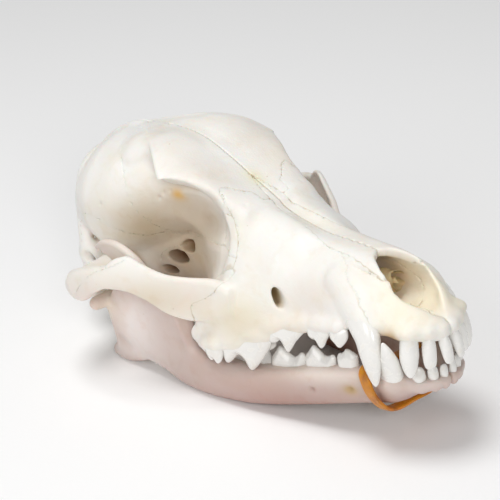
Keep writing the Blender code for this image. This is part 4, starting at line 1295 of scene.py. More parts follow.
    canal: Rows = (
        (-44, 20.2, 9.6, 1.0, 2.6), (-48, 19.4, 10.2, 1.2, 3.2), (-52.5, 17.9, 10.8, 1.2, 3.1),
        (-56.5, 17, 11.4, 0.9, 2.2),
    )
    orbit_rim: tuple = (
        (-69.4, 19), (-67.8, 22.4), (-68, 27), (-70.4, 32.4), (-73.4, 38.4), (-77.3, 42.8), (-83, 45),
        (-89.4, 45.6), (-97, 44), (-101, 36), (-99, 26), (-92, 20), (-83, 15.6), (-74, 16),
    )
    nose_notch: tuple = (
        (-22.2, -3), (-22, 1.2), (-20.4, 3.5), (-18.2, 4.9), (-15.6, 6.3), (-13.4, 6.9), (-11, 8.6),
        (4, 9), (4, -3),
    )
    nasal_slit: Rows = ((-28, 7.3, 19.8, 0.15, 0.5), (-21, 8.2, 18.6, 0.4, 0.9), (-13, 9.4, 16.9, 0.6, 1.2))
    orbit_holes: Rows = (
        (-104.5, 10.4, 14.2, 5, 5.4, 2.5, 40),
        (-98, 10.4, 18.2, 3.9, 5, 1.9, 40),
        (-110, 11.2, 9.2, 3.2, 5, 1.7, 40),
        (-88, 11.8, 17, 2.8, 1.6, 2.4, 15),
        (-112.6, 12.6, 13.4, 0.5, 2, 0.5, 0),
        (-97.3, 18.6, 38.8, 0.7, 1.6, 0.6, 0),
        (-99.4, 18.8, 37.2, 0.6, 1.6, 0.5, 0),
        (-94.6, 17.8, 39.4, 0.9, 1.6, 0.4, 0),
        (-121.7, 26.2, 35.4, 0.45, 1.6, 0.45, 0),
        (-65.4, 11.6, 36, 0.35, 0.4, 1.4, 0),
    )
    bones: tuple[Bone, ...] = (
        Bone(
            "nasal",
            Strip(
                (
                    (-75, 0.3, 40.2), (-70, 1.7, 37.8), (-66, 2.5, 35.6), (-60, 2.9, 32.8),
                    (-52, 3.3, 29), (-46, 4.5, 27), (-40, 5.6, 25), (-32, 6.1, 23), (-24, 7, 21.4),
                    (-17, 7.9, 19.6), (-5, 9.4, 19),
                ),
                2.7,
            ),
            ("nasal_{side}",),
        ),
        Bone(
            "cheekbone",
            Outline(
                (
                    (-65, 27), (-62.4, 22), (-63.6, 17.4), (-70, 11.6), (-75, 9.6), (-76, 3.4),
                    (-87, 2), (-90, -6), (-120, -6), (-117, 9), (-111.5, 15.4), (-105.8, 19.3),
                    (-99.7, 22.4), (-91, 25.6), (-90, 32), (-72, 32),
                ),
                start=22.0,
            ),
            ("cheekbone_{side}",),
        ),
        Bone(
            "premaxilla",
            Outline(
                (
                    (10, -14), (-9, -14), (-11.8, -3), (-12.8, 4.5), (-14.6, 9), (-17.9, 12.7),
                    (-21.2, 15.1), (-23.7, 16.8), (-27, 19.3), (-31, 22.2), (-34, 26), (-34, 32),
                    (10, 32),
                ),
            ),
            ("muzzle",),
        ),
        Bone(
            "maxilla",
            Meet(
                Outline(
                    (
                        (-74, 60), (-73.6, 42), (-71.6, 39.2), (-70, 36.4), (-68, 33.6), (-65.8, 31),
                        (-64.4, 28.4), (-63.6, 25.4), (-63.4, 22), (-64.6, 18.4), (-67.6, 15),
                        (-71.4, 12.6), (-75, 10.6), (-76.6, 8), (-77, 4), (-88, 2), (-90, -14),
                        (12, -14), (12, 60),
                    ),
                ),
                Outline(
                    (
                        (12, -6), (12, 60), (-96, 60), (-96, 16.4), (-74, 16), (-73.6, 13.2),
                        (-73.2, 11.5), (-72.2, 10.2), (-70.8, 9), (-69.6, 7.2), (-68, 5.5), (-64, 4.4),
                        (-60, -6),
                    ),
                    across=2,
                ),
            ),
            ("muzzle",),
        ),
        Bone(
            "lacrimal",
            Outline(((-72, 33.8), (-66, 33), (-58, 34), (-58, 22), (-66, 22.6), (-72, 24)), start=14.0),
            ("braincase",),
        ),
        Bone(
            "frontal",
            Outline(
                (
                    (-50, 70), (-50, 30), (-68, 24), (-84, 23.4), (-93, 24), (-101, 23.2), (-106, 27),
                    (-109.4, 36), (-113, 45), (-119, 53), (-121, 70),
                ),
            ),
            ("braincase",),
        ),
        Bone(
            "parietal",
            Outline(
                (
                    (-96, 70), (-96, 26), (-106, 23.6), (-113, 23.6), (-120, 27.6), (-129, 31),
                    (-137, 29.6), (-143, 25.4), (-147, 29), (-152, 37), (-155.4, 43), (-158, 50),
                    (-160, 70),
                ),
            ),
            ("braincase",),
        ),
        Bone(
            "temporal",
            Outline(
                (
                    (-84, 27), (-106, 23.6), (-113, 23.6), (-120, 27.6), (-129, 31), (-137, 29.6),
                    (-143, 25.4), (-141.5, 16), (-140, 6), (-140, -12), (-118, -12), (-114, 6),
                    (-110.5, 16), (-100, 19),
                ),
                start=7.0,
            ),
            ("braincase",),
        ),
    )
    paint: Palette = Palette(
        (0.90, 0.885, 0.85),
        (
            StainAndShade((-108, 20, 25), (17, 11, 10), (0.62, 0.50, 0.31), 0.85),
            StainAndShade((-90, 13, 28), (16, 7, 17), (0.62, 0.51, 0.39), 0.85),
            StainAndShade((-102, 10, 8), (20, 9, 10), (0.66, 0.54, 0.42), 0.6),
            StainAndShade((-130, 26, 26), (16, 12, 14), (0.84, 0.80, 0.73), 0.5),
            StainAndShade((-62, 25, 4), (12, 10, 8), (0.76, 0.66, 0.45), 0.7),
            StainAndShade((-90, 18, 24), (22, 12, 18), (0.74, 0.62, 0.46), 0.4),
            StainAndShade((-38, 16, 11), (9, 6, 7), (0.74, 0.68, 0.63), 0.7),
            StainAndShade((-50, 20, 2), (14, 8, 5), (0.83, 0.73, 0.60), 0.55),
            StainAndShade((-8, 9, 4), (9, 8, 7), (0.9, 0.83, 0.64), 0.6),
            # Painted glow in shade: warm amber of light through thin bone in the gap behind the third
            # incisor.
            StainAndShade((-9.6, 13.4, 1), (3, 3, 2.6), (0.72, 0.40, 0.10), 0.8),
            # Painted glow: amber and cream inside the nose stand for light coming through its thin bone.
            StainAndShade((-25, 0, 12), (12, 8.4, 5.6), (1, 0.64, 0.18), 1),
            StainAndShade((-10, 0, 10), (9, 10, 7), (1, 0.92, 0.70), 0.9),
            # Painted shade: rose along the underside of the cheekbone arch.
            StainAndShade((-104, 46, 13), (16, 6, 6), (0.74, 0.54, 0.48), 0.65),
            StainAndShade((-122, 40, 14), (10, 9, 8), (0.84, 0.76, 0.66), 0.6),
            StainAndShade((-74, 34, 12), (8, 7, 9), (0.84, 0.73, 0.64), 0.5),
            StainAndShade((-74, 0, 39.4), (7, 3, 3), (0.82, 0.76, 0.42), 0.55),
            StainAndShade((-64, 20.4, 32), (2.6, 3, 3), (0.86, 0.85, 0.52), 0.7),
            StainAndShade((-53.5, 16.6, 10.8), (4.6, 2.4, 5), (0.60, 0.49, 0.26), 0.9),
            StainAndShade((-92, 17, 38), (2.4, 3, 2.2), (0.82, 0.48, 0.10), 0.85),
            StainAndShade((-100, 45, 19), (22, 7, 7), (0.82, 0.76, 0.67), 0.6),
            StainAndShade((-85, 40, 13), (14, 8, 6), (0.72, 0.61, 0.46), 0.75),
            # Painted shade: dark brown under the skull base and on the palate, where the mouth lies in
            # shadow.
            StainAndShade((-112, 11, 3), (10, 6, 4), (0.36, 0.22, 0.12), 0.9),
            StainAndShade((-46, 7, 0), (28, 8, 4), (0.36, 0.20, 0.13), 0.9),
            StainAndShade((-134, 14, 6), (14, 12, 9), (0.82, 0.72, 0.6), 0.5),
            StainAndShade((-95, 0, 6), (24, 12, 8), (0.8, 0.68, 0.56), 0.5),
            StainAndShade((-143, 24, 22), (8, 7, 16), (0.8, 0.76, 0.74), 0.5),
            StainAndShade((-99, 12, 13), (17, 6, 10), (0.70, 0.57, 0.40), 0.7),
            # Painted shade: dark brown deep in the holes of the orbit.
            StainAndShade((-107.6, 6.4, 12.8), (7, 5, 4), (0.26, 0.12, 0.04), 1),
            StainAndShade((-100.6, 6.6, 17), (5.4, 4.6, 3.2), (0.34, 0.18, 0.06), 1),
            StainAndShade((-113.2, 7.4, 8), (5.4, 4.8, 3.4), (0.26, 0.12, 0.04), 1),
        ),
    )

    def clay(self, step: float, sockets: tuple[Ball, ...]) -> Clay:
        """The left half of the upper skull as a field.

        Args:
            step: the grid's spacing in millimetres.
            sockets: the bone that swells round each tooth's roots.

        Returns:
            The field from the midline to the left.
        """
        c = Clay.empty(self.low, self.high, step)
        c.add(Loft(self.braincase))
        c.add(Loft(self.base), 4)
        c.add(Skin(self.forehead), 1)
        c.add(Tube(self.temporal_line), 0.9)
        c.add(Skin(self.muzzle), 4)
        c.add(Tube(self.canine_swelling, up=(1, 0, 0)), 3.5)
        c.cut(Meet(Outline(self.orbit_rim), self.orbit_hollow), 0.5)
        c.add(Slab(self.wings), 7)
        c.cut(Loft(self.throat), 1)
        c.add(Slab(self.arch), 2)
        c.add(Tube(self.temporal_root), 2.2)
        c.add(self.hinge_root, 2.5)
        c.add(Tube(self.hinge_stop, up=(1, 0, 0)), 2)
        c.cut(self.hinge_hollow, 1.2)
        c.add(self.ear_capsule, 1.2)
        c.add(self.ear_knob, 1.5)
        c.cut(Tube(self.ear_canal, up=(1, 0, 0)), 0.6)
        c.add(self.condyle, 1.6)
        c.cut(self.neck_opening, 1)
        c.add(Tube(self.neck_process, up=(1, 0, 0)), 2.5)
        c.add(Tube(self.nuchal_crest, up=(1, 0, 0.35)), 2.2)
        c.add(Tube(self.sagittal_crest), 2.4)
        for socket in sockets:
            c.add(socket, 2.8)
        c.cut(Loft(self.cavity), 0.5)
        c.add(Tube(self.septum), 1.2)
        c.cut(Outline(self.nose_notch, across=2, start=16.6), 0.4)
        c.cut(Tube(self.nasal_slit, up=(0, 1, 0.8)), 0.3)
        c.cut(Tube(self.canal), 0.5)
        for x, y, z, rx, ry, rz, turn in self.orbit_holes:
            c.cut(Ball((x, y, z), (rx, ry, rz), (0, 0, turn)), 0.4)
        return c.soften()

    def wavy(self, window: Clay) -> Array:
        """How far a seam strays at each place, in millimetres: two sums of three sines.

        Args:
            window: a block over the wanted places.

        Returns:
            The stray on that block's grid.
        """
        x, y, z = window.open_axes(WHOLE)
        slow = np.sin(x / 1.9 + 0.7 * z) + np.sin(y / 1.5 + x / 3.1) + np.sin(z / 1.7 - y / 2.3)
        fast = np.sin(x * 2.1 + y) + np.sin(z * 2.3 - x) + np.sin(y * 1.9 + z)
        return 0.13 * slow + 0.07 * fast

    def build(self, step: float, sockets: tuple[Ball, ...], finish: bpy.types.Material) -> Shade:
        """Part the upper skull into its bones and build each.

        Args:
            step: the grid's spacing in millimetres.
            sockets: the bone that swells round each tooth's roots.
            finish: the material of bleached bone.

        Returns:
            Where its hollows are, for the teeth's own painted shade.
        """
        half = self.clay(step, sockets)
        shade = Shade.of(half)
        claimed = np.full(half.field.shape, -FAR, np.float32)
        for bone in self.bones:
            low, high = bone.region.reach()
            window = half.window(low - BONE_ROOM, high + BONE_ROOM)
            piece = half.part(window, half.field[window])
            claim = bone.region.distance(*half.open_axes(window)) + self.wavy(piece)
            wall = np.maximum(claim, claimed[window]) + self.gap
            wall = np.maximum(wall, self.split - half.open_axes(window)[1])
            claimed[window] = np.maximum(claimed[window], -claim)
            left = self.finished(piece, half.part(window, wall), shade)
            for side, surface in (("left", left), ("right", left.flipped())):
                made = build_object(f"{bone.name}_{side}", surface, finish)
                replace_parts(made, *(node.format(side=side) for node in bone.nodes))
        unclaimed = half.part(WHOLE, claimed + self.gap).mirrored()
        rest = self.finished(half.mirrored(), unclaimed, shade)
        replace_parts(build_object("skull_base", rest, finish), "braincase")
        return shade

    def finished(self, solid: Clay, wall: Clay, shade: Shade) -> Surface:
        """A bone's skin with its tone, its hollows and its distance from the seams.

        Args:
            solid: the whole skull's field over the bone's window.
            wall: the bone's bounds over the same window, negative within them.
            shade: where the hollows are.

        Returns:
            The surface with its values.
        """
        made = solid.part(WHOLE, np.maximum(solid.field, wall.field)).skin()
        blunt = np.maximum(solid.read(made.points), wall.read(made.points)) < -0.05 * solid.step
        sharp = wall.drawn(solid.drawn(wall.drawn(solid.drawn(made.points[blunt]))))
        far = np.linalg.norm(sharp - made.points[blunt], axis=1) > 0.6 * solid.step
        made.points[blunt] = np.where(far[:, None], made.points[blunt], sharp)
        nose = falloff(made.points, self.nose_centre, self.nose_reach)
        made.values["tone"] = self.paint.at(made.points)
        # Painted shade in hollows, left out of the nose so that the painted glow there stays bright.
        made.values["hollow"] = shade.at(made.points) * np.clip(1 - 1.3 * nose, 0, 1)
        fainter = 0.3 * ramp(-made.points[:, 0], 78, 90)
        made.values["seam"] = np.maximum(-wall.read(made.points), 0) + fainter
        return made


@dataclass(frozen=True)
class Scroll:
    """One scroll of thin bone inside the nose: a spiral sheet, its radius falling evenly with the turn."""

    centre: tuple[float, float] = (3.7, 10.4)
    front: float = -20.5
    back: float = -38.0
    radius: float = 3.1
    turns: float = 1.35
    thickness: float = 0.45
    start_turn: float = 0.6
    taper: float = 0.72
    tall: float = 1.25
    # Painted glow: the amber ground stands for light coming through the thin bone of the nose; the patch
    # darkens it towards the back.
    paint: Palette = Palette(
        (0.93, 0.78, 0.48),
        (StainAndShade((-34, 4, 9.6), (10, 8, 8), (0.62, 0.38, 0.12), 0.8),),
    )

    def surface(self) -> Surface:
        """The left scroll: out along the spiral's outer side and back along its inner, carried along x."""
        t = np.linspace(0, 1, 60)
        turn = 2 * math.pi * self.turns * t + self.start_turn
        r = self.radius * (1 - self.taper * t)
        half = self.thickness / 2 * np.sqrt(np.clip(4 * t * (1 - t), 0.05, 1)) ** 0.5
        turn, r = np.concatenate((turn, turn[::-1])), np.concatenate((r + half, (r - half)[::-1]))
        s = np.linspace(0, 1, 30)[None, :]
        ragged = 0.7 * np.sin(turn * 2.3) + 0.35 * np.sin(turn * 5.1 + 1)
        x = self.front + ragged[:, None] * (1 - s) ** 4 + (self.back - self.front) * s
        wave = 1 + 0.06 * np.sin(s * 19 + turn[:, None])
        y = self.centre[0] + np.cos(turn)[:, None] * r[:, None] * wave
        z = self.centre[1] + self.tall * np.sin(turn)[:, None] * r[:, None] * wave
        return wrapped(np.stack((x, y, z), axis=2), closed=False)

    def build(self, finish: bpy.types.Material) -> None:
        """Build both scrolls."""
        left = self.surface()
        left.values["tone"] = self.paint.at(left.points)
        for side, surface in (("left", left), ("right", left.flipped())):
            build_object(f"nasal_scroll_{side}", surface, finish)


@dataclass(frozen=True)
class Jaw:
    """One half of the lower jaw without its teeth, kept clear of the midline by split.

    Each nerve hole is a ball and the blend that it is cut with.
    """

    low: Triple = (-130.0, -4.0, -31.0)
    high: Triple = (8.0, 46.0, 33.0)
    split: float = 0.15
    muscle_hollow: Ball = Ball((-101, 39.8, 3), (13, 5.5, 15), (0, -20, -12))
    nerve_holes: tuple[tuple[Ball, float], ...] = (
        (Ball((-28, 17, -17.2), (1.6, 2.4, 1.1)), 0.4),
        (Ball((-41, 20.4, -18), (1.2, 2, 0.8)), 0.4),
        (Ball((-23, 15.8, -15.6), (0.7, 1.6, 0.5)), 0.3),
    )
    body: Rows = (
        (-0.6, -15, -13.6, 1.6, 2.1, 2.2, 2.7, 0),
        (-3, -16.2, -13.4, 2.9, 4.1, 3.5, 4.7, 0),
        (-6, -17.4, -13, 3.5, 5.4, 4.1, 6, 0),
        (-11, -19.8, -12.2, 4.1, 8.2, 4.7, 6, 0.2),
        (-17.2, -22.8, -11, 4.2, 11, 4.8, 4.8, 0.6),
        (-25, -23.6, -10.2, 7.6, 13.2, 4, 3.4, 0.6),
        (-35, -24, -11, 12.2, 15.1, 4, 3, 0.8),
        (-46, -24.8, -12.2, 16.2, 17, 3.8, 3, 1),
        (-56, -25.6, -13.4, 18.8, 19.2, 4.6, 3.4, 1),
        (-66, -26, -13.4, 21.2, 21.6, 5.1, 3.6, 1),
        (-76, -25.4, -12, 23.6, 24.4, 4.8, 3.4, 1),
        (-84, -24.2, -9, 25.6, 27, 4, 3, 0.8),
        (-92, -21.8, -4, 27.8, 29, 2.8, 2.4, 0.4),
        (-100, -17.8, 0, 28.6, 31, 2.7, 2.2, 0.2),
        (-108, -15.8, 3, 29.4, 32, 2.6, 2.2, 0),
        (-114, -16, 5, 30, 31.6, 2.4, 2.2, 0),
        (-120.6, -15.6, 5, 30.6, 31.4, 2.2, 2.4, 0),
    )
    branch: Rows = (
        (-81, -16, -10, 26.4, 27.4, 2.4, 1.8, 0),
        (-84.2, -15, -7.4, 26.6, 28, 2.5, 2.2, 0),
        (-85.6, -14, 3, 27, 29, 2.6, 3.4, 0),
        (-88.6, -12, 9.6, 27.8, 30.6, 2.6, 2.8, 0.1),
        (-92, -12, 16.4, 28.6, 33, 2.4, 2, 0.2),
        (-96.5, -12, 22.6, 29.2, 35, 2.2, 1.3, 0.4),
        (-102, -12, 26.6, 29.8, 36.2, 2, 0.8, 0.4),
        (-107, -12, 26.8, 30.2, 36.6, 2, 0.8, 0.4),
        (-111, -11, 25, 30.6, 36.6, 1.9, 0.8, 0.2),
        (-114.2, -8, 9.2, 31, 33.6, 2, 1.5, 0),
        (-119, -6, 6, 31, 32.4, 1.8, 1.6, 0),
    )
    hook: Rows = (
        (-91.6, 33.4, 15.5, 1.5, 1.6), (-94.6, 35, 21.4, 1.4, 1.5), (-98.6, 36.2, 25.8, 1.3, 1.3),
        (-103.6, 36.8, 27.7, 1.2, 1.2), (-109, 37, 27.4, 1.1, 1.1), (-112.8, 37, 25.4, 0.8, 0.8),
    )
    hinge: Rows = ((-118.4, 23, 5.2, 2.4, 2.2), (-119, 30, 5.6, 2.8, 2.5), (-119.5, 38, 5.4, 2.4, 2.3))
    hinge_neck: Rows = ((-112, 30.6, -6, 2.4, 5.5), (-117, 31, 0, 2.4, 4), (-118.5, 31, 4, 2.4, 3))
    angle: Rows = ((-112, 30, -12.5, 2.6, 4), (-118, 30.6, -13.6, 2.5, 4), (-122.8, 31, -14, 2.1, 2.4))
    inner_border: Rows = (
        (-48, 13.6, -20, 2.6, 3.8), (-56, 16, -20.6, 3.4, 4.4), (-66, 18.2, -20.6, 4, 4.8),
        (-76, 19.8, -20.2, 4.2, 4.8), (-86, 23, -18.4, 3, 4),
    )
    chin: Rows = ((-13, 11, -13, 4, 4.6), (-17, 9.6, -16.5, 3.8, 4.4), (-24, 10.5, -18, 3, 3.4))
    notch: tuple = (
        (-115, 31), (-112.6, 24.8), (-109.4, 23.2), (-106.8, 21.2), (-105.4, 17), (-108, 12.4),
        (-114, 9.6), (-120, 10), (-126, 24),
    )
    paint: Palette = Palette(
        (0.60, 0.48, 0.435),
        (
            # The jaw's own rose tone with painted shade, darker along its bottom.
            StainAndShade((-58, 22, -27), (60, 12, 8), (0.42, 0.25, 0.22), 0.95),
            # Painted shade: dark brown on the inner face, where the mouth lies in shadow.
            StainAndShade((-72, 15.4, -23), (24, 4.8, 13), (0.24, 0.10, 0.05), 1),
            StainAndShade((-45, 11, -18), (14, 3.6, 8), (0.42, 0.25, 0.17), 0.9),
            StainAndShade((-40, 18, -12.6), (34, 6, 3.2), (0.82, 0.73, 0.66), 0.8),
            StainAndShade((-109, 34, -2), (13, 9, 17), (0.90, 0.84, 0.81), 0.8),
            StainAndShade((-100, 38, 26), (14, 6, 7), (0.90, 0.86, 0.79), 0.85),
            StainAndShade((-105, 37, 19.6), (5, 5, 3.4), (0.62, 0.46, 0.32), 0.7),
            StainAndShade((-6, 5, -16), (9, 8, 5), (0.88, 0.80, 0.74), 0.5),
            # Painted shade under the chin, with the jaw's own rose tone.
            StainAndShade((-8, 6, -20), (12, 10, 4), (0.46, 0.29, 0.27), 0.8),
            StainAndShade((-28, 16.4, -17.4), (2.4, 3, 1.8), (0.50, 0.34, 0.10), 0.9),
            StainAndShade((-19, 10, -12), (6, 5, 4), (0.80, 0.62, 0.42), 0.6),
            StainAndShade((-119, 32, 4), (6, 10, 5), (0.87, 0.8, 0.68), 0.7),
        ),
    )

    def clay(self, step: float, sockets: tuple[Ball, ...]) -> Clay:
        """The left half of the jaw as a field.

        Args:
            step: the grid's spacing in millimetres.
            sockets: the bone that swells round each tooth's roots.

        Returns:
            The field of the left half.
        """
        c = Clay.empty(self.low, self.high, step)
        c.add(Slab(self.body))
        c.add(Slab(self.branch), 2)
        c.add(Tube(self.hinge_neck, up=(1, 0, 0)), 2)
        c.add(Tube(self.angle), 2)
        c.cut(self.muscle_hollow, 3)
        c.cut(Outline(self.notch), 0.8)
        c.add(Tube(self.hinge), 2)
        c.add(Tube(self.hook), 1)
        c.add(Tube(self.inner_border), 3)
        c.add(Tube(self.chin, up=(1, 0, 0)), 3)
        for socket in sockets:
            c.add(socket, 1.2)
        for hole, blend in self.nerve_holes:
            c.cut(hole, blend)
        c.field = np.maximum(c.field, self.split - c.open_axes(WHOLE)[1])
        return c.soften()

    def build(self, step: float, sockets: tuple[Ball, ...], finish: bpy.types.Material) -> Shade:
        """Build both halves.

        Args:
            step: the grid's spacing in millimetres.
            sockets: the bone that swells round each tooth's roots.
            finish: the material of the jaw's bone.

        Returns:
            Where the jaw's hollows are, for the teeth's own painted shade.
        """
        clay = self.clay(step, sockets)
        shade = Shade.of(clay)
        left = clay.skin()
        left.values["tone"] = self.paint.at(left.points)
        # Painted shade in the jaw's hollows.
        left.values["hollow"] = shade.at(left.points)
        left.values["seam"] = left.points[:, 1] - self.split
        for side, surface in (("left", left), ("right", left.flipped())):
            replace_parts(build_object(f"jaw_{side}", surface, finish), f"mandible_{side}")
        return shade


@dataclass(frozen=True)
class Crown:
    """A cheek tooth: the outline of its outer face filled out to a keeled body, with inner cusps.

    The outline's points are (how far back from the front, height); inner cusps are balls in the
    tooth's own frame (back, in, height, and three radii). The bone swells round its two roots,
    which stand at shares of its length, by socket_wall on each side.
    """

    name: str
    front: tuple[float, float]
    back: tuple[float, float]
    gum: tuple[float, float]
    thick: float
    keel: float
    outline: Rows
    inner: Rows = ()
    roots: tuple[float, float] = (0.24, 0.78)
    socket_share: float = 0.27
    socket_wall: float = 0.35
    socket_height: float = 2.2
    socket_rise: float = 2.1

    def along(self) -> tuple[Array, float]:
        """The way back along the row, and the tooth's length that way."""
        run = np.subtract(self.back, self.front)
        length = float(np.linalg.norm(run))
        return run / length, length

    def surface(self, step: float) -> Surface:
        """The left tooth: half thickness rises with the 0.6th power of the distance in from the outline.

        Args:
            step: the grid's spacing in millimetres.

        Returns:
            Its skin in skull millimetres.
        """
        form = Outline(self.outline)
        low, high = form.reach()
        deep = self.thick + max((-row[1] + row[4] - self.thick for row in self.inner), default=0.0)
        low[1], high[1] = -deep, 0
        c = Clay.empty(tuple(low - TOOTH_ROOM), tuple(high + TOOTH_ROOM), step)
        s, n, z = c.open_axes(WHOLE)
        flat = form.distance(s, n, z)
        tip = np.abs(z - sum(self.gum) / 2) / float(high[2] - low[2])
        half = self.thick / 2 * np.clip(-flat / self.keel, 0, 1) ** 0.6 * (1.04 - 0.3 * tip)
        c.field = even(np.maximum(np.abs(n + self.thick / 2) - half, flat), s)
        for row in self.inner:
            c.add(Ball(row[:3], row[3:]), 1.6)
        made = c.soften().skin()
        way, _ = self.along()
        across = np.array((-way[1], way[0])) * np.sign(way[0])
        p = made.points
        flat_at = np.array(self.front) + p[:, :1] * way + p[:, 1:2] * across
        points = np.column_stack((flat_at, p[:, 2]))
        return Surface(points, made.faces[:, ::-1])

    def sockets(self, upward: float) -> tuple[Ball, ...]:
        """The swellings of bone round its two roots, a little thicker than the tooth.

        Args:
            upward: 1 where the roots point up and -1 where they point down.

        Returns:
            The two swellings.
        """
        way, length = self.along()
        heading = math.degrees(math.atan2(way[1], way[0]))
        made = []
        for share in self.roots:
            at = np.array(self.front) + way * share * length
            gum = self.gum[0] + (self.gum[1] - self.gum[0]) * share
            centre = (float(at[0]), float(at[1]) - self.thick / 2, gum + upward * self.socket_rise)
            radii = (self.socket_share * length, self.thick / 2 + self.socket_wall, self.socket_height)
            made.append(Ball(centre, radii, (0, 0, heading)))
        return tuple(made)


# Rows of a front tooth: place between gum (0) and edge (1), then its width and depth as shares.
SPADE: Rows = (
    (-0.3, 0.7, 0.85), (0.05, 0.84, 1), (0.35, 1, 0.92), (0.7, 0.95, 0.6), (0.9, 0.76, 0.36),
    (0.98, 0.44, 0.2), (1, 0.16, 0.1),
)
FANG: Rows = (
    (-0.3, 0.8, 0.85), (0.1, 0.94, 1), (0.4, 1, 0.96), (0.7, 0.8, 0.76), (0.88, 0.54, 0.5),
    (0.97, 0.3, 0.28), (1, 0.1, 0.1),
)


@dataclass(frozen=True)
class Incisor:
    """A front tooth: ovals from root to edge along a leaning curve, shaped like a spade or a fang."""

    name: str
    at: Triple
    wide: float
    crown: float
    lean: tuple[float, float]
    turn: float
    fang: bool = False
    root: float = 0.3
    back: float = 0.8
    socket_rise: float = 1.7
    socket_height: float = 2.2

    def surface(self, down: int) -> Surface:
        """The left tooth, its edge down (-1) or up (1), root of its crown's height in the bone.

        Args:
            down: -1 where its edge is down and 1 where it is up.

        Returns:
            Its skin, with a root in the bone.
        """
        v = (1 + self.root) * np.sin(np.linspace(0, math.pi / 2, 30)) - self.root
        across, through = eased(ordered(FANG if self.fang else SPADE), v).T
        a = np.linspace(0, 2 * math.pi, 32, endpoint=False)[:, None]
        px, py = np.cos(a) * through * self.wide * 0.52, np.sin(a) * across * self.wide / 2
        px = px * np.where(np.cos(a) < 0, self.back, 1)
        t = math.radians(self.turn)
        bend = 1.5 * v - 0.5 * v**2
        x = self.at[0] + self.lean[0] * bend + px * math.cos(t) - py * math.sin(t)
        y = self.at[1] + self.lean[1] * bend + px * math.sin(t) + py * math.cos(t)
        z = np.broadcast_to(self.at[2] + down * v * self.crown, x.shape)
        return wrapped(np.stack((x, y, z), axis=2), closed=False)

    def socket(self, down: int) -> Ball:
        """The swelling of bone round its root.

        Args:
            down: -1 where its edge is down and 1 where it is up.

        Returns:
            The swelling.
        """
        x, y, z = self.at
        radii = (0.62 * self.wide, 0.58 * self.wide, self.socket_height)
        return Ball((x, y, z - down * self.socket_rise), radii)


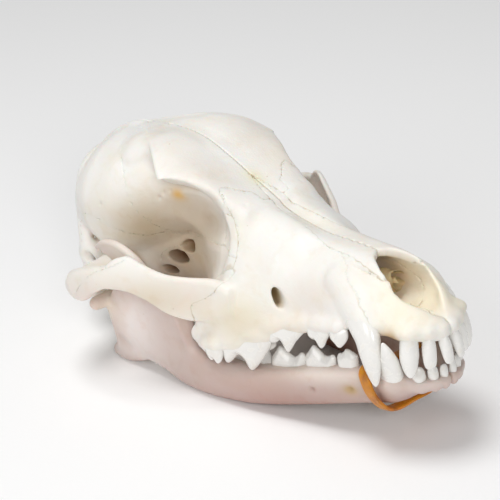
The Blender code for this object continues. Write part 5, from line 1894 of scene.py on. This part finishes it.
@dataclass(frozen=True)
class Teeth:
    """All the teeth of both sides."""

    upper: tuple[Crown, ...] = (
        Crown(
            "upper_p1", (-26, 17.8), (-34.5, 18.4), (0.9, 0.9), 3.6, 1.9,
            (
                (-1.5, 3), (-1.8, 0.8), (-1.1, -0.8), (0.5, -2.4), (2.4, -3.6), (3.6, -2.7), (4.5, -1.8),
                (5.4, -0.8), (5.4, 0.8), (5, 3.4), (2, 4),
            ),
        ),
        Crown(
            "upper_p2", (-34, 18.6), (-43, 19.6), (1.0, 0.6), 3.9, 1.9,
            (
                (-2.5, 3), (-2.7, 1), (-2.1, -0.3), (-0.8, -1.9), (0.4, -3.7), (1.9, -4.8), (2.8, -3.6),
                (3.5, -2.3), (5, -2), (6.1, -0.8), (6.2, 0.8), (6, 3.4), (2, 4),
            ),
        ),
        Crown(
            "upper_p3", (-41, 20), (-54.8, 23.6), (0.9, -0.8), 4.2, 2.0,
            (
                (-0.8, 3), (-1.1, 1.2), (-0.3, 0), (1.6, -1.6), (3.8, -3.6), (5.5, -5.6), (7, -6.9),
                (8, -5.9), (8.6, -4.2), (9.3, -3.1), (11, -4), (12.9, -4.1), (13.5, -2.6), (13, 0),
                (12.5, 2.4), (6, 3.4),
            ),
        ),
        Crown(
            "upper_p4", (-53.3, 23.5), (-71.2, 28.6), (-2.8, -7.4), 5.0, 2.3,
            (
                (0.3, 0), (-0.1, -3.4), (0.9, -5.7), (3.1, -8.5), (5.5, -11.1), (7.8, -13.2),
                (9.4, -14), (10.6, -12.5), (11.4, -10.3), (12.8, -9), (14.4, -9.6), (16.3, -11.2),
                (18, -12), (18.8, -11), (19.2, -9), (18.8, -5), (17, -1.6), (8, -0.6),
            ),
            ((3.4, -5.6, -5.6, 2.6, 2.4, 2.4),),
        ),
        Crown(
            "upper_m1", (-70.8, 30.2), (-77.8, 30.8), (-7.2, -6.6), 3.6, 2.0,
            (
                (-0.6, -4), (-0.8, -7.4), (0.2, -10.2), (2.2, -11.6), (3.4, -10.2), (4.8, -10.8),
                (6, -9.2), (6.6, -7), (6.2, -3.6), (3, -2.8),
            ),
            ((2.8, -5, -7.4, 3.2, 3, 2.2), (3.6, -8, -6.4, 3.6, 3, 2.4)),
        ),
        Crown(
            "upper_m2", (-78, 29.6), (-83.6, 28.8), (-6.2, -5), 2.8, 1.6,
            (
                (-0.4, -3.4), (-0.6, -6.6), (0.6, -9), (2, -8.2), (3.4, -8), (4.4, -6), (4.2, -3.2),
                (2, -2.4),
            ),
            ((2, -4.4, -6, 2.2, 2.6, 1.9),),
        ),
    )
    lower: tuple[Crown, ...] = (
        Crown(
            "lower_p1", (-20.4, 14), (-25, 14.3), (-10.2, -10.4), 2.8, 1.5,
            ((-0.4, -12), (-0.4, -9.8), (1, -8.2), (2.4, -8.4), (3.3, -9.8), (3.2, -12.4)),
        ),
        Crown(
            "lower_p2", (-24.5, 14.7), (-34, 15.7), (-9.8, -10.6), 3.4, 1.8,
            (
                (0.9, -12), (0.4, -9.3), (0.2, -7), (1.3, -6.1), (2.6, -5.4), (4.4, -4.9), (5.5, -5.9),
                (6.4, -6.5), (7.6, -6.7), (8.5, -8), (8.7, -10.3), (8.3, -12.8), (4.5, -13),
            ),
        ),
        Crown(
            "lower_p3", (-33.5, 15.7), (-46.5, 17.4), (-11, -12.2), 3.9, 2.0,
            (
                (0.9, -13.6), (0.5, -10.8), (0.4, -8.9), (1.4, -7.7), (3, -8.3), (4.8, -8.3),
                (6.5, -6.8), (8.3, -5.4), (9.6, -6.3), (11, -7.9), (12.2, -9), (12.8, -11.2),
                (12.4, -14.4), (6.4, -15),
            ),
        ),
        Crown(
            "lower_p4", (-46, 17.3), (-59, 19.3), (-12.4, -13.6), 4.1, 2.0,
            (
                (0.4, -15.4), (-0.2, -12.6), (-0.1, -9.9), (1.2, -8.5), (2.8, -9.5), (4.6, -10.4),
                (6.7, -9.1), (8.2, -7.8), (9.6, -7.1), (11, -8.2), (12.3, -9.6), (13.9, -11.6),
                (14, -15), (7, -16),
            ),
        ),
        Crown(
            "lower_m1", (-60.4, 19.6), (-78.5, 22.2), (-13, -12), 4.6, 2.2,
            (
                (0.3, -16), (-0.1, -11.4), (1.2, -8.2), (3.6, -6.2), (5.2, -7.4), (6.4, -6.4),
                (8.4, -3.6), (9.8, -4.6), (10.8, -7), (11.6, -8.4), (13.4, -7.6), (15.4, -8.6),
                (17.3, -8.9), (18.2, -11), (18, -14.6), (9, -16.6),
            ),
            ((14.4, -3.6, -9.8, 2.8, 1.8, 1.8),),
        ),
        Crown(
            "lower_m2", (-79.3, 23), (-86, 24), (-11, -9.4), 3.6, 1.7,
            (
                (0, -13.4), (-0.2, -9.4), (1.4, -7.6), (3, -8.3), (4.8, -7.4), (6.2, -8.6), (6.6, -11.6),
                (3.4, -14),
            ),
        ),
    )
    upper_front: tuple[Incisor, ...] = (
        Incisor("upper_i1", (0.3, 2, -0.2), 3.7, 8.5, (1.9, 0.5), 10),
        Incisor("upper_i2", (-1.5, 5.8, 0.3), 4.3, 9.3, (0.7, 1.6), 30),
        Incisor("upper_i3", (-5, 10, 1.0), 5.8, 11.6, (0.2, 1.9), 55, True),
    )
    lower_front: tuple[Incisor, ...] = (
        Incisor("lower_i1", (-2.2, 1.7, -13.9), 2.7, 4.2, (0.7, 0.2), 10),
        Incisor("lower_i2", (-3.6, 4.5, -13.9), 3.3, 4.5, (0.7, 0.6), 30),
        Incisor("lower_i3", (-6.2, 7.4, -13.7), 4.2, 5, (0.5, 1.1), 50),
    )
    upper_canine: Rows = (
        (-22, 13.2, 9, 2.8, 4.4), (-18, 15, 5.2, 3.1, 4.7), (-15.7, 16, 1.6, 3, 4.4),
        (-14.9, 16.8, -2.8, 2.6, 3.7), (-14.5, 17.2, -7.4, 1.9, 2.7), (-14.5, 17.2, -11, 1.1, 1.5),
        (-14.7, 17.1, -12.5, 0.55, 0.6),
    )
    lower_canine: Rows = (
        (-17, 10.4, -17, 2.8, 4.2), (-13, 12, -11.5, 2.9, 4), (-10.4, 13.9, -6.4, 2.5, 3.2),
        (-9.2, 15.5, -2.2, 1.6, 2), (-9.2, 16.2, 0.4, 0.8, 0.9), (-9.3, 16.3, 1, 0.5, 0.55),
    )
    paint: Palette = Palette((0.87, 0.855, 0.82))

    def sockets(self, upper: bool) -> tuple[Ball, ...]:
        """The swellings of bone round the roots of one jaw's teeth.

        Args:
            upper: whether it is the upper jaw.

        Returns:
            All of them, on the left.
        """
        crowns, front = (self.upper, self.upper_front) if upper else (self.lower, self.lower_front)
        up = 1 if upper else -1
        rows = [socket for crown in crowns for socket in crown.sockets(up)]
        return tuple(rows + [tooth.socket(-up) for tooth in front])

    @staticmethod
    def canine(rows: Rows, step: float) -> Surface:
        """A long tooth with its root: an oval carried along its curve.

        Args:
            rows: the curve's rows, as Tube has them.
            step: the grid's spacing in millimetres.

        Returns:
            Its skin.
        """
        form = Tube(rows, up=(1, 0, 0), per_span=8)
        low, high = form.reach()
        return Clay.empty(tuple(low - TOOTH_ROOM), tuple(high + TOOTH_ROOM), step).add(form).skin()

    def build(self, step: float, above: Shade, below: Shade, finish: bpy.types.Material) -> None:
        """Build every tooth.

        Args:
            step: the grid's spacing in millimetres.
            above: where painted shade gathers on the upper skull.
            below: where it gathers on the jaw.
            finish: the material of enamel.
        """
        made = [("upper_c", self.canine(self.upper_canine, step), above)]
        made += [("lower_c", self.canine(self.lower_canine, step), below)]
        made += [(crown.name, crown.surface(step), above) for crown in self.upper]
        made += [(crown.name, crown.surface(step), below) for crown in self.lower]
        made += [(tooth.name, tooth.surface(-1), above) for tooth in self.upper_front]
        made += [(tooth.name, tooth.surface(1), below) for tooth in self.lower_front]
        for name, surface, shade in made:
            surface.values["tone"] = self.paint.at(surface.points)
            # Painted shade where the bone crowds the tooth.
            surface.values["hollow"] = shade.at(surface.points)
            build_object(f"tooth_{name}_left", surface, finish)
            build_object(f"tooth_{name}_right", surface.flipped(), finish)


@dataclass(frozen=True)
class Band:
    """The elastic band drawn round both jaws behind the lower canines."""

    path: Rows = (
        (-18.6, 0, -24.4), (-18.4, 4.8, -24.4), (-18, 9, -23.9), (-17.7, 12.6, -22.4),
        (-17.7, 15.2, -19.4), (-18.1, 16.8, -15.8), (-18.6, 17.2, -12.6), (-19.1, 16.6, -9.9),
        (-19.6, 14.2, -8.7), (-19.9, 7.5, -10), (-19.9, 0, -10.2),
    )
    width: float = 4.4
    thickness: float = 1.2
    per_span: int = 8

    def surface(self) -> Surface:
        """A strip with rounded edges carried round the closed loop, its width pinched here and there.

        Its section is |a|^4 + |b|^3.3 = 1, with a and b in parts of half its width and thickness.

        Returns:
            The band's skin.
        """
        side = swept(self.path, self.per_span)
        loop = np.vstack((side, side[-2:0:-1] * (1, -1, 1)))
        tangent = np.roll(loop, -1, axis=0) - np.roll(loop, 1, axis=0)
        tangent /= np.linalg.norm(tangent, axis=1)[:, None]
        first = np.array((1.0, 0, 0)) - tangent * tangent[:, :1]
        first /= np.linalg.norm(first, axis=1)[:, None]
        second = np.cross(tangent, first)
        t = np.linspace(0, 2 * math.pi, 20, endpoint=False)
        s = np.linspace(0, 2 * math.pi, len(loop), endpoint=False)[:, None, None]
        pinch = 1 + 0.05 * np.sin(5 * s) + 0.03 * np.sin(11 * s)
        a = np.sign(np.cos(t)) * np.abs(np.cos(t)) ** 0.5 * self.width / 2
        b = np.sign(np.sin(t)) * np.abs(np.sin(t)) ** 0.6 * self.thickness / 2
        across = first[:, None] * a[None, :, None] * pinch
        through = second[:, None] * b[None, :, None]
        return wrapped(loop[:, None] + across + through, closed=True)

    def build(self, finish: bpy.types.Material) -> None:
        """Build the band."""
        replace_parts(build_object("chin_band", self.surface(), finish), "rubber_band")


@dataclass(frozen=True)
class Lamp:
    """A soft round light: where it hangs, how wide it is and its power."""

    place: Triple
    size: float
    power: float


@dataclass(frozen=True)
class Studio:
    """The camera fitted to the bones, soft lights and a pale floor."""

    camera_rows: Rows = (
        (0.64056062, 0.74291470, -0.19431893),
        (0.11769158, -0.34503918, -0.93118022),
        (-0.75883512, 0.57360762, -0.30845347),
    )
    camera_at: Triple = (342.933, -322.023, 187.624)
    lens: float = 126.577
    sensor: float = 36.0
    clip: tuple[float, float] = (0.01, 20.0)
    lamps: tuple[Lamp, ...] = (
        Lamp((0.1, -0.75, 0.5), 0.42, 1.7),
        Lamp((-0.1, -0.15, 1.1), 0.5, 5.8),
        Lamp((0.78, -0.46, 0.5), 0.3, 2.3),
    )
    aim: Triple = (0.0, 0.0, 0.03)
    daylight: float = 0.28
    floor_reach: float = 2.0

    def camera(self) -> None:
        """Set the camera where the photograph was taken from."""
        data = bpy.data.cameras.new("camera")
        data.sensor_width = self.sensor
        data.lens = self.lens
        data.clip_start, data.clip_end = self.clip
        holder = bpy.data.objects.new("camera", data)
        rows = np.array(self.camera_rows)
        turn = REST.turn() @ np.stack((rows[0], -rows[1], -rows[2]), axis=1)
        matrix = np.eye(4)
        matrix[:3, :3] = turn
        matrix[:3, 3] = REST.place(np.array([self.camera_at]))[0]
        holder.matrix_world = Matrix(matrix.tolist())
        bpy.context.scene.collection.objects.link(holder)
        bpy.context.scene.camera = holder

    def light(self) -> None:
        """Hang the soft lights, each turned to the skull, in plain white surroundings."""
        for i, lamp in enumerate(self.lamps):
            data = bpy.data.lights.new(f"softbox_{i}", "AREA")
            data.shape = "DISK"
            data.size = lamp.size
            data.energy = lamp.power
            holder = bpy.data.objects.new(f"softbox_{i}", data)
            holder.location = lamp.place
            inward = Vector(self.aim) - holder.location
            holder.rotation_euler = inward.to_track_quat("-Z", "Y").to_euler()
            bpy.context.scene.collection.objects.link(holder)
        world = bpy.data.worlds.new("studio")
        world.use_nodes = True
        ground = world.node_tree.nodes["Background"]
        ground.inputs["Color"].default_value = (1, 1, 1, 1)
        ground.inputs["Strength"].default_value = self.daylight
        bpy.context.scene.world = world

    def floor(self) -> None:
        """Lay the pale floor."""
        mesh = bpy.data.meshes.new("floor")
        r = self.floor_reach
        mesh.from_pydata([(-r, -r, 0), (r, -r, 0), (r, r, 0), (-r, r, 0)], [], [(0, 1, 2, 3)])
        mesh.materials.append(PaperFinish("floor_paper").material())
        sheet = bpy.data.objects.new("floor", mesh)
        bpy.context.scene.collection.objects.link(sheet)

    def build(self) -> None:
        """Set up the camera, the lights and the floor, and keep the colours as the lights give them."""
        self.camera()
        self.light()
        self.floor()
        bpy.context.scene.view_settings.view_transform = "Standard"


def main() -> None:
    logging.basicConfig(level=logging.INFO, format="%(message)s")
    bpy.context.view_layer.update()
    step = STEP
    bone = BoneFinish("bleached_bone", warm=(0.93, 0.88, 0.79), deep=(0.60, 0.44, 0.28)).material()
    jaw_bone = BoneFinish("jaw_bone", warm=(0.93, 0.84, 0.78), deep=(0.62, 0.45, 0.34)).material()
    scroll = BoneFinish("scroll_bone", warm=(0.95, 0.84, 0.6), deep=(0.7, 0.5, 0.25), hollow_shade=0.3).material()
    enamel = EnamelFinish("enamel").material()
    rubber = RubberFinish("amber_rubber").material()
    teeth = Teeth()
    Studio().build()
    above = Cranium().build(step, teeth.sockets(upper=True), bone)
    below = Jaw().build(step, teeth.sockets(upper=False), jaw_bone)
    teeth.build(step / 2, above, below, enamel)
    Scroll().build(scroll)
    Band().build(rubber)


if __name__ == "__main__":
    main()
